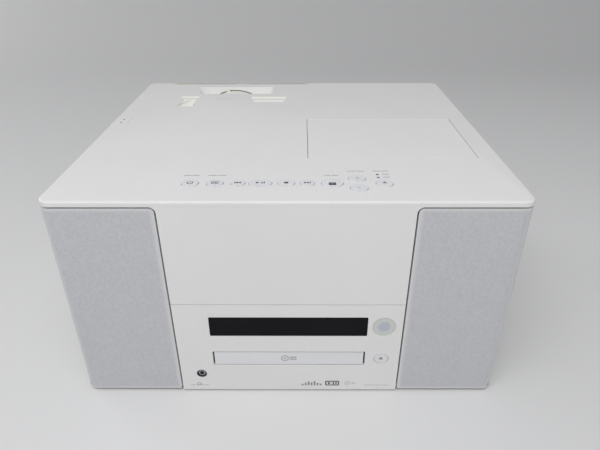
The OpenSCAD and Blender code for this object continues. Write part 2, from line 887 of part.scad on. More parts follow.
door_gap = 0.8;
door_side_gap = 1.3;
door_t = 3.7;
door_y0 = front_y + 0.3;
tray_y0 = door_y0 + door_t;
tray_w = slot_w - 2 * door_side_gap - 0.7;
tray_z0 = slot_z - 3.65;
tray_z1 = tray_z0 + tray_t;
disc_y = tray_y0 + 6 + disc_d / 2;
tray_y1 = disc_y + disc_d / 2 + 30;
disc_z = tray_z1 - well_depth;
drive_slot = 21;
rack_h = 2.2;
rack_pitch_x = 42;
rack_bar = 3;
gear_r = tooth_m * gear_teeth / 2;
gear_x = rack_pitch_x - gear_r;
gear_y = tray_y0 + 16;
gear_t = 2;
gear_z0 = tray_z0 - clear - gear_t;
gear_pin_r = 2;
pulley_z = gear_z0 - 6;
pulley_t = 4;
motor_x = gear_x - 44;
motor_r = 11;
motor_h = 12;
loader_half = tray_w / 2 + clear + 4;
loader_y0 = front_in + 1.5;
loader_y1 = tray_y1 + 8;
bridge_z = tray_z1 + 6.5;
plate_t = 3;

module tray_front() {
    color(white_case) front_prism(door_y0, tray_y0) translate([0, slot_z])
        rounded(slot_w - 2 * door_side_gap, slot_h - 2 * door_gap, 0.6);
}

// One tooth of the gear, with involute flanks in five steps, pointing along +X
function involute(base, a) = [base * (cos(a) + a * PI / 180 * sin(a)),
    base * (sin(a) - a * PI / 180 * cos(a))];
function turned(p, a) = [p[0] * cos(a) - p[1] * sin(a), p[0] * sin(a) + p[1] * cos(a)];

pressure = 20;
backlash = 0.12;

module gear_outline() {
    base = gear_r * cos(pressure);
    tip = gear_r + tooth_m;
    root = gear_r - 1.25 * tooth_m;
    tip_roll = sqrt(pow(tip / base, 2) - 1) * 180 / PI;
    pitch_roll = tan(pressure) * 180 / PI;
    pitch_turn = pitch_roll - pressure;
    half = 90 / gear_teeth + pitch_turn - backlash / 2 / gear_r * 180 / PI;
    steps = 4;
    circle(root);
    for (i = [0:gear_teeth - 1]) rotate(i * 360 / gear_teeth)
        polygon(concat([[root * 0.9, -root * sin(half) * 0.98]],
            [for (k = [0:steps]) let (p = involute(base, tip_roll * k / steps))
                turned([p[0], p[1]], -half)],
            [for (k = [steps:-1:0]) let (p = involute(base, tip_roll * k / steps))
                turned([p[0], -p[1]], half)],
            [[root * 0.9, root * sin(half) * 0.98]]));
}

// Straight rack: its spaces face -X and take the gear's teeth
module rack_outline(y0, y1) {
    pitch = PI * tooth_m;
    tip_half = pitch / 4 - tooth_m * tan(pressure) - backlash / 4;
    foot_half = pitch / 4 + 1.25 * tooth_m * tan(pressure) - backlash / 4;
    foot_x2 = rack_pitch_x + 1.25 * tooth_m;
    translate([foot_x2 - 0.01, y0]) square([rack_bar, y1 - y0]);
    for (i = [-floor((gear_y - y0) / pitch - 0.5):floor((y1 - gear_y) / pitch - 0.5) - 1])
        translate([0, gear_y + (i + 0.5) * pitch])
            polygon([[foot_x2, -foot_half], [foot_x2, foot_half],
                [rack_pitch_x - tooth_m, tip_half], [rack_pitch_x - tooth_m, -tip_half]]);
}

module disc_tray() {
    corner = 2;
    color(white_case) {
        difference() {
            translate([0, (tray_y0 + tray_y1) / 2, tray_z0])
                linear_extrude(tray_t) rounded(tray_w, tray_y1 - tray_y0, corner);
            translate([0, disc_y, disc_z]) cylinder(h = tray_t, r = disc_d / 2 + 0.8);
            translate([0, disc_y, disc_z - 0.8]) cylinder(h = tray_t, r = 40.8);
            translate([0, disc_y, tray_z0 - 1]) cylinder(h = tray_t + 2, r = drive_slot);
            block([-drive_slot, disc_y, tray_z0 - 1], [drive_slot, tray_y1 + 1, tray_z1 + 1]);
        }
        translate([0, 0, tray_z0 - rack_h])
            linear_extrude(rack_h + 0.1) rack_outline(tray_y0 + 2, tray_y1 - 2);
    }
}

module tray_gear() {
    color(button_white) translate([gear_x, gear_y, 0]) difference() {
        union() {
            translate([0, 0, gear_z0]) linear_extrude(gear_t) gear_outline();
            translate([0, 0, pulley_z + pulley_t - 0.1])
                cylinder(h = gear_z0 - pulley_z - pulley_t + 0.2, r = 5);
            translate([0, 0, pulley_z]) pulley(pulley_r);
        }
        translate([0, 0, pulley_z - 1])
            cylinder(h = gear_z0 + gear_t - pulley_z + 2, r = gear_pin_r + fit);
    }
}

// A pulley with a flat groove for the belt
groove_depth = 1.5;
groove_rim = 0.8;

module pulley(r) {
    rotate_extrude() polygon([[0, 0], [r, 0], [r, groove_rim], [r - groove_depth, groove_rim],
        [r - groove_depth, pulley_t - groove_rim], [r, pulley_t - groove_rim], [r, pulley_t],
        [0, pulley_t]]);
}

module motor_pulley() {
    shaft_l = 6;
    color(brass) translate([motor_x, gear_y, 0]) {
        translate([0, 0, pulley_z]) pulley(motor_pulley_r);
        translate([0, 0, pulley_z - shaft_l]) cylinder(h = shaft_l + 0.1, r = 1);
    }
}

module loading_motor() {
    motor_z1 = floor_z + plate_t + motor_h;
    color(zinc) translate([motor_x, gear_y, floor_z + plate_t]) difference() {
        union() {
            cylinder(h = motor_h, r = motor_r);
            translate([0, 0, motor_h - 0.1]) cylinder(h = 1.1, r = 3);
        }
        translate([0, 0, motor_h - 5]) cylinder(h = 8, r = 1 + fit);
    }
}

module loading_belt() {
    belt_t = 0.9;
    belt_h = 1.8;
    ends = [[gear_x, pulley_r], [motor_x, motor_pulley_r]];
    color(dark_plastic)
        translate([0, gear_y, pulley_z + (pulley_t - belt_h) / 2]) linear_extrude(belt_h)
            difference() {
                hull() for (e = ends)
                    translate([e[0], 0]) circle(e[1] - groove_depth + clear + belt_t);
                hull() for (e = ends)
                    translate([e[0], 0]) circle(e[1] - groove_depth + clear);
            }
}

// Pivot of the drive frame, at its rear end
pivot_y = disc_y + 77;
pivot_z = floor_z + 14.5;
pivot_r = 2;
drive_half = 42;
drive_z = floor_z + 13;
drive_y0 = disc_y - 21;
drive_y1 = pivot_y + 6;
pin_l = 7;

module loader_frame() {
    inner = tray_w / 2 + clear;
    ledge = 6;
    color(dark_plastic) difference() {
        union() {
            for (s = [-1, 1]) {
                block([s > 0 ? inner : -loader_half, loader_y0, floor_z],
                    [s > 0 ? loader_half : -inner, loader_y1, bridge_z]);
                block([s > 0 ? inner - ledge : -inner - 0.1, loader_y0, tray_z0 - clear - 2],
                    [s > 0 ? inner + 0.1 : -inner + ledge, loader_y1, tray_z0 - clear]);
                for (y = [loader_y0 + 6, loader_y1 - 20])
                    block([s > 0 ? inner - 2 : -inner - 0.1, y, tray_z1 + clear],
                        [s > 0 ? inner + 0.1 : -inner + 2, y + 12, tray_z1 + clear + 2]);
                block([s > 0 ? drive_half + 0.6 : -drive_half - pin_l, pivot_y - 5, floor_z],
                    [s > 0 ? drive_half + pin_l : -drive_half - 0.6, pivot_y + 5, pivot_z + 4.5]);
            }
            block([-loader_half + 0.1, loader_y0, floor_z],
                [loader_half - 0.1, drive_y0 - 4, floor_z + plate_t]);
            block([-loader_half + 0.1, pivot_y - 5, floor_z],
                [loader_half - 0.1, loader_y1, floor_z + plate_t]);
            translate([gear_x, gear_y, floor_z])
                cylinder(h = pulley_z - floor_z - clear, r = 4);
            translate([gear_x, gear_y, floor_z])
                cylinder(h = gear_z0 + gear_t - floor_z - 0.5, r = gear_pin_r);
        }
        along_x(-loader_half, pivot_y, pivot_z)
            cylinder(h = 2 * loader_half, r = pivot_r + fit);
    }
}

rod_x = 26;
rod_z = drive_z + plate_t + 4;
rod_r = 1.5;
rod_y0 = disc_y + 9;
rod_y1 = disc_y + 73;
rod_block = 3;
pickup_y = disc_y + 25;
pickup_half_l = 10;

module drive_frame() {
    color(zinc) difference() {
        union() {
            block([-drive_half, drive_y0, drive_z], [drive_half, drive_y1, drive_z + plate_t]);
            for (s = [-1, 1], y = [rod_y0, rod_y1 - rod_block])
                block([s * rod_x - 4, y, drive_z], [s * rod_x + 4, y + rod_block, rod_z + 4]);
            for (s = [-1, 1])
                along_x(s > 0 ? drive_half - 4 : -drive_half - pin_l + 0.5, pivot_y, pivot_z)
                    cylinder(h = pin_l + 3.5, r = pivot_r);
        }
        block([-rod_x - 5, rod_y0 + rod_block, drive_z - 1],
            [rod_x + 5, rod_y1 - rod_block, drive_z + plate_t + 1]);
        for (s = [-1, 1])
            along_y(s * rod_x, rod_y0 + 1, rod_z) cylinder(h = rod_y1 - rod_y0 - 2, r = rod_r + fit);
        translate([0, disc_y, drive_z - 1]) cylinder(h = plate_t + 2, r = 4);
    }
}

module guide_rods() {
    color(zinc) for (s = [-1, 1])
        along_y(s * rod_x, rod_y0 + 1, rod_z) cylinder(h = rod_y1 - rod_y0 - 2, r = rod_r);
}

spindle_r = 1.2;
spindle_motor_r = 13;
table_z = disc_z + 0.5;
table_t = 2.5;
table_r = 15;
spindle_motor_z1 = table_z - table_t - 3;

module spindle_motor() {
    color(zinc) translate([0, disc_y, 0]) difference() {
        union() {
            translate([0, 0, drive_z + plate_t])
                cylinder(h = spindle_motor_z1 - drive_z - plate_t, r = spindle_motor_r);
            translate([-16, -8, drive_z + plate_t]) cube([32, 16, 2]);
        }
        translate([0, 0, drive_z + plate_t + 1]) cylinder(h = 40, r = spindle_r + fit);
    }
}

hub_r = 7.3;
hub_h = 3;

module turntable() {
    color(dark_plastic) translate([0, disc_y, 0]) {
        rotate_extrude() polygon([[0, spindle_motor_z1 + clear], [5, spindle_motor_z1 + clear],
            [5, table_z - table_t], [table_r, table_z - table_t], [table_r, table_z],
            [hub_r, table_z], [hub_r, table_z + hub_h - 1.5], [hub_r - 1.5, table_z + hub_h],
            [0, table_z + hub_h]]);
        translate([0, 0, drive_z + plate_t + 1.5])
            cylinder(h = spindle_motor_z1 - drive_z - plate_t, r = spindle_r);
    }
}

module optical_pickup() {
    sled_z0 = drive_z + plate_t + 0.8;
    color(dark_plastic) difference() {
        union() {
            block([-rod_x - 4, pickup_y - pickup_half_l, sled_z0],
                [rod_x + 4, pickup_y + pickup_half_l, sled_z0 + 7]);
            block([-9, pickup_y - 7, sled_z0], [9, pickup_y + 7, disc_z - 4]);
            translate([0, pickup_y, disc_z - 4.1]) cylinder(h = 2.1, r = 3);
        }
        for (s = [-1, 1])
            along_y(s * rod_x, pickup_y - pickup_half_l - 1, rod_z)
                cylinder(h = 2 * pickup_half_l + 2, r = rod_r + fit);
    }
}

clamp_hole_r = 12.6;
clamp_hub_r = 12;
bridge_t = 2;

module clamp_bridge() {
    color(zinc) translate([0, 0, bridge_z]) linear_extrude(bridge_t) difference() {
        translate([-loader_half, disc_y - 16]) square([2 * loader_half, 32]);
        translate([0, disc_y]) circle(clamp_hole_r);
    }
}

module disc_clamp() {
    low = table_z + 0.8;
    seat = bridge_z + bridge_t + clear;
    color(dark_plastic) translate([0, disc_y, 0])
        rotate_extrude() polygon([[hub_r + 0.7, low], [clamp_hub_r, low], [clamp_hub_r, seat],
            [clamp_hub_r + 3.5, seat], [clamp_hub_r + 3.5, seat + 2], [0, seat + 2],
            [0, table_z + hub_h + 0.7], [hub_r + 0.7, table_z + hub_h + 0.7]]);
}

// ---- Projector ----

engine_z = seam_h + 1.6;
engine_t = 3;
engine_x0 = -lens_x - 48;
engine_x1 = -lens_x + 48;
engine_y0 = lamp_y0 + 6;
engine_y1 = back_y - 93;
engine_top = lens_z + 36;
mount_y1 = focus_y1 + 0.4;
lamp_x0 = cover_x + ledge_w + 3;
lamp_x1 = cover_x + cover_w - ledge_w - 3;
lamp_y1 = lamp_y0 + cover_d - ledge_w - 3;
lamp_y = (lamp_y0 + ledge_w + 3 + lamp_y1) / 2;
hangers = [[engine_x0 + 5, engine_y0 + 5], [engine_x0 + 5, engine_y1 - 5],
    [engine_x1 + 8, engine_y1 - 5], [lamp_x1 - 5, engine_y1 - 5]];

module optical_housing() {
    color(magnesium) difference() {
        union() {
            block([engine_x0, engine_y0, engine_z],
                [lamp_x1, engine_y1, engine_z + engine_t]);
            block([engine_x0, engine_y0 + 10, engine_z], [engine_x1, engine_y1, engine_top]);
            along_x(engine_x1 - 1, lamp_y, lens_z) cylinder(h = lamp_x0 - engine_x1 + 0.7, r = 18);
            along_y(-lens_x, engine_y1 - 0.1, lens_z) tube(barrel_r + 14, barrel_r + fit, 4);
            along_y(-lens_x, engine_y1 - 0.1, lens_z)
                tube(barrel_r + mount_wall, barrel_r + fit, mount_y1 - engine_y1 + 0.1);
            for (h = hangers)
                translate([h[0], h[1], engine_z]) cylinder(h = under_top - engine_z, r = 4);
        }
        block([engine_x0 + 3, engine_y0 + 13, engine_z + engine_t],
            [engine_x1 - 3, engine_y1 - 3, engine_top - 3]);
        along_x(engine_x1 - 5, lamp_y, lens_z) cylinder(h = lamp_x0 - engine_x1 + 6, r = 15);
        along_y(-lens_x, engine_y1 - 5, lens_z) cylinder(h = 8, r = barrel_r - 4);
    }
}

// Lens barrel and its two lenses
barrel_y0 = engine_y1 + 8;
head_y0 = mount_y1 + 3.4;
head_l = 3.4;
barrel_y1 = head_y0 + head_l;
front_glass_r = 25;
rear_glass_r = 18;
front_seat_y = barrel_y1 - 12;
rear_seat_y = barrel_y0 + 4;

module lens_barrel() {
    length = barrel_y1 - barrel_y0;
    head = head_y0 - barrel_y0;
    front_seat = front_seat_y - barrel_y0;
    rear_seat = rear_seat_y - barrel_y0;
    color(dark_plastic) along_y(-lens_x, barrel_y0, lens_z)
        rotate_extrude() polygon([[rear_glass_r - 2, 0], [barrel_r, 0], [barrel_r, head],
            [head_r, head], [head_r, length], [front_glass_r + 3, length],
            [front_glass_r + fit, length - 5], [front_glass_r + fit, front_seat],
            [front_glass_r - 2.5, front_seat], [front_glass_r - 2.5, front_seat - 16],
            [rear_glass_r + fit, front_seat - 18], [rear_glass_r + fit, rear_seat],
            [rear_glass_r - 2, rear_seat]]);
}

// A lens as a body of revolution: radius, rim thickness, bulge of its rear and front faces
module lens(r, rim, rear, front) {
    rear_sphere = (r * r + rear * rear) / (2 * rear);
    front_sphere = (r * r + front * front) / (2 * front);
    rotate_extrude() {
        square([r, rim]);
        intersection() {
            translate([0, rim + front - front_sphere]) circle(front_sphere, $fn = 180);
            translate([0, rim - 0.01]) square([r, front + 1]);
        }
        intersection() {
            translate([0, rear_sphere - rear]) circle(rear_sphere, $fn = 180);
            translate([0, -rear - 1]) square([r, rear + 1.01]);
        }
    }
}

module lens_glass() {
    color(glass_tint) {
        along_y(-lens_x, front_seat_y + clear, lens_z) lens(front_glass_r, 3, 1.5, 4);
        along_y(-lens_x, rear_seat_y + clear, lens_z) lens(rear_glass_r, 3, 1, 2);
    }
}

tab_angle = 10.8;
tab_w = 4;
tab_l = 3;
tab_rise = 2.2;

module focus_ring() {
    ribs = 60;
    color(white_case) along_y(-lens_x, focus_y0, lens_z) difference() {
        union() {
            tube(focus_r, barrel_r + mount_wall + fit, focus_l);
            rotate(-90 - tab_angle)
                translate([focus_r - 0.8, -tab_w / 2, focus_l - tab_l])
                    cube([tab_rise + 0.8, tab_w, tab_l]);
        }
        for (i = [0:ribs - 1]) rotate(i * 360 / ribs)
            translate([focus_r + 0.3, 0, -1]) cylinder(h = 4, r = 0.8);
    }
}

module lens_shutter() {
    x = -lens_x + shutter_travel;
    color(white_case) {
        block([x - shutter_w / 2, shutter_y0, lens_z - shutter_h / 2],
            [x + shutter_w / 2, shutter_y1, lens_z + shutter_h / 2]);
        difference() {
            block([x + knob_x - knob_w / 2, shutter_y0, lens_z - knob_drop - knob_h / 2],
                [x + knob_x + knob_w / 2, back_y - 0.2, lens_z - knob_drop + knob_h / 2]);
            for (i = [-1:1])
                block([x + knob_x + i * 2.2 - 0.5, back_y - 1.2, lens_z - knob_drop - knob_h],
                    [x + knob_x + i * 2.2 + 0.5, back_y, lens_z - knob_drop + knob_h]);
        }
    }
}

lamp_z1 = under_top - 12;

module lamp_unit() {
    y0 = lamp_y0 + ledge_w + 3;
    z0 = engine_z + engine_t;
    handle_x0 = lamp_x0 + 30;
    handle_x1 = lamp_x1 - 30;
    color(dark_plastic) difference() {
        union() {
            block([lamp_x0, y0, z0], [lamp_x1, lamp_y1, lamp_z1]);
            for (x = [handle_x0, handle_x1 - 6])
                block([x, lamp_y - 3, lamp_z1 - 0.1], [x + 6, lamp_y + 3, lamp_z1 + 7]);
            block([handle_x0, lamp_y - 3, lamp_z1 + 4], [handle_x1, lamp_y + 3, lamp_z1 + 7]);
        }
        block([lamp_x0 + 3, y0 + 3, z0 + 3], [lamp_x1 - 3, lamp_y1 - 3, lamp_z1 - 3]);
        along_x(lamp_x0 - 1, lamp_y, lens_z) cylinder(h = 6, r = 24);
    }
}

module lamp_reflector() {
    mouth = 26;
    x0 = lamp_x0 + 4;
    color(glass_tint) along_x(x0, lamp_y, lens_z) rotate_extrude() union() {
        polygon([[mouth, 0], [mouth, 3], [24, 10], [20, 20], [14, 30], [8, 36], [8, 46], [0, 46],
            [0, 33], [11, 28], [17.5, 19], [21.5, 9], [23, 3], [23, 0]]);
        translate([0, 12]) square([2, 22]);
    }
    color(zinc)
        block([x0 + 46, lamp_y - 10, engine_z + engine_t + 3], [x0 + 50, lamp_y + 10, lens_z + 10]);
}

// ---- Fan ----

fan_bore = fan_w / 2 - 2;
fan_y1 = back_in - 2;
fan_y0 = fan_y1 - fan_t;
fan_hub_r = 13;
fan_shaft_r = 1.5;

module fan_frame() {
    strut_t = 3;
    color(dark_plastic) {
        difference() {
            front_prism(fan_y0, fan_y1) translate([fan_x, vent_z]) difference() {
                rounded(fan_w, fan_w, 4);
                circle(fan_bore);
                for (sx = [-1, 1], sy = [-1, 1])
                    translate([sx * (fan_w / 2 - 4), sy * (fan_w / 2 - 4)]) circle(1.8);
            }
        }
        difference() {
            union() {
                along_y(fan_x, fan_y0, vent_z) cylinder(h = strut_t, r = fan_hub_r);
                along_y(fan_x, fan_y0, vent_z) cylinder(h = strut_t + 6, r = 5);
                for (turn = [45:90:315])
                    translate([fan_x, 0, vent_z]) rotate([0, turn, 0])
                        block([fan_hub_r - 1, fan_y0, -2], [fan_bore + 1, fan_y0 + strut_t, 2]);
            }
            along_y(fan_x, fan_y0 + 1, vent_z) cylinder(h = 20, r = fan_shaft_r + fit);
        }
    }
}

module fan_rotor() {
    y0 = fan_y0 + 3 + clear;
    length = fan_t - 3 - 2 * clear - 1;
    color(dark_plastic) {
        along_y(fan_x, y0, vent_z) difference() {
            cylinder(h = length, r = fan_hub_r);
            translate([0, 0, -1]) cylinder(h = 8, r = fan_hub_r - 2);
        }
        along_y(fan_x, fan_y0 + 1.5, vent_z) cylinder(h = 14, r = fan_shaft_r);
        for (i = [0:fan_blades - 1])
            along_y(fan_x, y0 + length / 2, vent_z) rotate(i * 360 / fan_blades)
                rotate([38, 0, 0])
                    translate([fan_hub_r - 1, -9, -0.8])
                        cube([fan_bore - fan_hub_r - 2, 18, 1.6]);
    }
}

// ---- Electronics ----

module bay_board(side) {
    z = floor_z + board_post_h;
    block([side > 0 ? board_x0 : -board_x1, board_y0, z],
        [side > 0 ? board_x1 : -board_x0, board_y1, z + board_t]);
}

module main_board() {
    z = floor_z + board_post_h + board_t;
    mid = (board_x0 + board_x1) / 2;
    color(board_green) bay_board(1);
    color(dark_plastic) {
        block([mid - 16, board_y0 + 20, z - 0.1], [mid + 16, board_y0 + 52, z + 3]);
        block([mid - 10, board_y0 + 62, z - 0.1], [mid + 10, board_y0 + 76, z + 2]);
    }
    color(zinc) for (s = [-1, 1])
        translate([mid + s * 8, board_y0 + 92, z - 0.1]) cylinder(h = 10, r = 5);
}

module power_supply() {
    z = floor_z + board_post_h + board_t;
    color(board_green) bay_board(-1);
    mid = -(board_x0 + board_x1) / 2;
    color(brass) block([mid - 17, board_y0 + 18, z - 0.1], [mid + 17, board_y0 + 48, z + 28]);
    color(dark_plastic) for (s = [-1, 1])
        translate([mid + s * 11, board_y0 + 66, z - 0.1]) cylinder(h = 30, r = 9);
    color(zinc) block([mid - 18, board_y0 + 90, z - 0.1], [mid + 18, board_y0 + 93, z + 34]);
}

inlet_depth = 20;

module mains_inlet() {
    color(dark_plastic) difference() {
        union() {
            front_prism(back_in - inlet_depth, back_y - 0.3) translate([inlet_x, inlet_z])
                square([inlet_w - 2 * fit, inlet_h - 2 * fit], center = true);
            front_prism(back_in - 2, back_in) translate([inlet_x, inlet_z])
                square([inlet_w + 6, inlet_h + 6], center = true);
        }
        front_prism(back_in - inlet_depth + 4, back_y + 1) translate([inlet_x, inlet_z])
            square([inlet_w - 5, inlet_h - 5], center = true);
    }
    color(brass) for (i = [-1:1])
        block([inlet_x + i * 7 - 1, back_in - inlet_depth + 3.9, inlet_z + (i == 0 ? -5 : 1)],
            [inlet_x + i * 7 + 1, back_in - 2, inlet_z + (i == 0 ? -1 : 5)]);
}

module video_sockets() {
    ring_r = 4.2;
    row = [-28, -14, 0];
    color(dark_plastic) difference() {
        union() {
            front_prism(back_in, back_y - 0.4) translate([socket_x, socket_z])
                square([socket_w - 2 * fit, socket_h - 2 * fit], center = true);
            front_prism(back_in - 2, back_in) translate([socket_x, socket_z])
                square([socket_w + 6, socket_h + 6], center = true);
            block([socket_x - socket_w / 2 + 4, board_y1 - 8, floor_z + board_post_h + board_t],
                [socket_x + socket_w / 2 - 4, back_in - 1.9, socket_z + socket_h / 2 - 4]);
        }
        for (x = row, z = [-7, 8]) along_y(socket_x + x, back_in - 4, socket_z + z)
            tube(ring_r, 1.9, 10);
        front_prism(back_in - 8, back_y + 1) {
            translate([socket_x + 21, socket_z + 8]) square([16, 6], center = true);
            translate([socket_x + 21, socket_z - 7]) circle(5);
        }
    }
}

module speaker_frame(side) {
    rim = speaker_r + 3;
    color(dark_plastic) along_y(side * speaker_x, baffle_back, speaker_z)
        rotate_extrude() polygon([[speaker_r - 3, 0], [rim, 0], [rim, 2.5], [speaker_r - 1, 2.5],
            [17, 16], [17, 30], [0, 30], [0, 18], [12, 18], [12, 14], [speaker_r - 3, 2.5]]);
}

module left_speaker() {
    speaker_frame(-1);
}

module right_speaker() {
    speaker_frame(1);
}

module speaker_cones() {
    edge = speaker_r - 1;
    color(dark_plastic) for (s = [-1, 1])
        along_y(s * speaker_x, baffle_back, speaker_z)
            rotate_extrude() polygon([[edge, -1.5], [edge, 0], [edge - 4, 0], [9, 12], [0, 12],
                [0, 7], [5, 7], [9, 9.5], [edge - 5, -1.5]]);
}

upper_case();
lower_case();
left_grille();
right_grille();
lamp_cover();
filter_cover();
air_filter();
exhaust_grille();
case_screws();
fixed_feet();
left_foot();
right_foot();
display_window();
display_panel();
front_board();
sensor_window();
eject_button();
headphone_jack();
power_button();
source_button();
previous_button();
play_button();
stop_button();
next_button();
menu_button();
volume_up_button();
volume_down_button();
brightness_button();
status_lights();
button_board();
tray_front();
disc_tray();
loader_frame();
tray_gear();
loading_motor();
motor_pulley();
loading_belt();
drive_frame();
spindle_motor();
turntable();
optical_pickup();
guide_rods();
clamp_bridge();
disc_clamp();
optical_housing();
lens_barrel();
lens_glass();
focus_ring();
lens_shutter();
lamp_unit();
lamp_reflector();
fan_frame();
fan_rotor();
main_board();
power_supply();
mains_inlet();
video_sockets();
left_speaker();
right_speaker();
speaker_cones();
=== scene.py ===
"""Home projector with a disc tray: its finishes, small parts and the photograph's view."""
from contextlib import contextmanager
import json
import math

import bmesh
import bpy
from mathutils import Matrix, Vector

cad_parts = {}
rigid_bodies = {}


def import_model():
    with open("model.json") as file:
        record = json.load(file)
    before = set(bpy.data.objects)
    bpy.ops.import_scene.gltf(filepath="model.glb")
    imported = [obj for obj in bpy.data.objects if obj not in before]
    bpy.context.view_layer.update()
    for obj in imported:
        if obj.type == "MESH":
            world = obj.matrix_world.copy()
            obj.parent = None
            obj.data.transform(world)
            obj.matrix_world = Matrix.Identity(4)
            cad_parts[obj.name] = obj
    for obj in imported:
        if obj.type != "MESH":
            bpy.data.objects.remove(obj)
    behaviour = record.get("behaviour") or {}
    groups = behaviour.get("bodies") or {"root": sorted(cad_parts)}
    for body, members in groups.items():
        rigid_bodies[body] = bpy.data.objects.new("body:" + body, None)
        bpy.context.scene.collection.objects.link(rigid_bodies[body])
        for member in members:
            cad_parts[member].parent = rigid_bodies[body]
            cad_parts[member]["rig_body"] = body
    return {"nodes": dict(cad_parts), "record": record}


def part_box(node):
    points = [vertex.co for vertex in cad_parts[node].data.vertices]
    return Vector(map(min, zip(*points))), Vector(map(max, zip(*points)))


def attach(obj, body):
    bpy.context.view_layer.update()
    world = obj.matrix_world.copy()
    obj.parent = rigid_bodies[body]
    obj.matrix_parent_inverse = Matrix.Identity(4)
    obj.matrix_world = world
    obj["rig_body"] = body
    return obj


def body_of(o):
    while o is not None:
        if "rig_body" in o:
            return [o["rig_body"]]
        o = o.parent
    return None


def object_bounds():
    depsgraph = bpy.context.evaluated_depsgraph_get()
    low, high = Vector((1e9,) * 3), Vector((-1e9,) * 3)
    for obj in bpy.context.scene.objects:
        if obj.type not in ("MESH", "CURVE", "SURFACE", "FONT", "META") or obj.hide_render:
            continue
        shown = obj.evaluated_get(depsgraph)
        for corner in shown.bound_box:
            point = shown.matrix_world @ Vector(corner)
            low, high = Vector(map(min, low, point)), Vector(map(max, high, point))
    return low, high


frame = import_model()
nodes = frame["nodes"]
cad_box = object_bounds()

MM = 0.001
LOW, HIGH = (Vector(corner) for corner in cad_box)

# The case's sides in millimetres: the buttons stand a little proud of its top
FRONT_MM = LOW.y / MM
BACK_MM = HIGH.y / MM
BUTTON_TOP_MM = HIGH.z / MM
BUTTON_PROUD = 0.6
TOP_MM = BUTTON_TOP_MM - BUTTON_PROUD
UNDERSIDE_MM = 2.5


def mm(*values):
    """Millimetres as metres."""
    return Vector([v * MM for v in values])


def box_mm(node_name):
    """Lowest and highest corner of a CAD node, in millimetres."""
    return [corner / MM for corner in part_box(node_name)]


def middle_mm(node_name):
    """Middle of a CAD node, in millimetres."""
    low, high = box_mm(node_name)
    return (low + high) / 2


# ---------------------------------------------------------------- camera

# The view, as fitted to the photograph: pixels, millimetres and degrees
PHOTO_WIDTH = 600
FOCAL_PIXELS = 511.86
SENSOR_WIDTH = 36.0
CAMERA_X = 10.72
CAMERA_Y = -460.41
CAMERA_ABOVE_TOP = 157.55
CAMERA_YAW = -0.283
CAMERA_PITCH = 29.881
CAMERA_ROLL = -0.125

# How near and how far the camera sees, in metres
NEAREST_SEEN = 0.01
FARTHEST_SEEN = 30


def photograph_camera():
    """The camera where the photograph was taken from."""
    yaw, pitch, roll = (math.radians(a) for a in (CAMERA_YAW, CAMERA_PITCH, CAMERA_ROLL))
    forward = Vector((math.sin(yaw) * math.cos(pitch), math.cos(yaw) * math.cos(pitch),
                      -math.sin(pitch)))
    level = Vector((math.cos(yaw), -math.sin(yaw), 0))
    upward = level.cross(forward)
    right = math.cos(roll) * level + math.sin(roll) * upward
    up = -math.sin(roll) * level + math.cos(roll) * upward
    turn = Matrix((right, up, -forward)).transposed()
    bpy.ops.object.camera_add()
    camera = bpy.context.object
    camera.name = "photograph_camera"
    place = mm(CAMERA_X, CAMERA_Y, TOP_MM + CAMERA_ABOVE_TOP)
    camera.matrix_world = Matrix.Translation(place) @ turn.to_4x4()
    camera.data.sensor_fit = "HORIZONTAL"
    camera.data.sensor_width = SENSOR_WIDTH
    camera.data.lens = FOCAL_PIXELS / PHOTO_WIDTH * SENSOR_WIDTH
    camera.data.clip_start = NEAREST_SEEN
    camera.data.clip_end = FARTHEST_SEEN
    bpy.context.scene.camera = camera


# ---------------------------------------------------------------- shader maths

class Value:
    """A number that varies over a surface: arithmetic on it adds Math nodes."""

    def __init__(self, finish, socket):
        self.finish = finish
        self.socket = socket

    def math(self, operation, *others):
        """One Math node on this value and the others."""
        inputs = dict(enumerate([self, *others]))
        node = self.finish.node("ShaderNodeMath", {"operation": operation}, inputs)
        return self.finish.value(node)

    def __add__(self, other):
        return self.math("ADD", other)

    __radd__ = __add__

    def __sub__(self, other):
        return self.math("SUBTRACT", other)

    def __rsub__(self, other):
        return self.math("MULTIPLY", -1).math("ADD", other)

    def __mul__(self, other):
        return self.math("MULTIPLY", other)

    __rmul__ = __mul__

    def above(self, edge, softness):
        """0 below edge, 1 above it, with a soft step."""
        node = self.finish.node("ShaderNodeMapRange", {"interpolation_type": "SMOOTHSTEP"},
                                {"Value": self, "From Min": edge - softness,
                                 "From Max": edge + softness})
        return self.finish.value(node)

    def between(self, low, high, softness):
        """1 from low to high, 0 outside, with soft steps."""
        return self.above(low, softness) * (1 - self.above(high, softness))


NOISE_ROUGHNESS = 0.55
FLAT_POINTINESS = 0.5


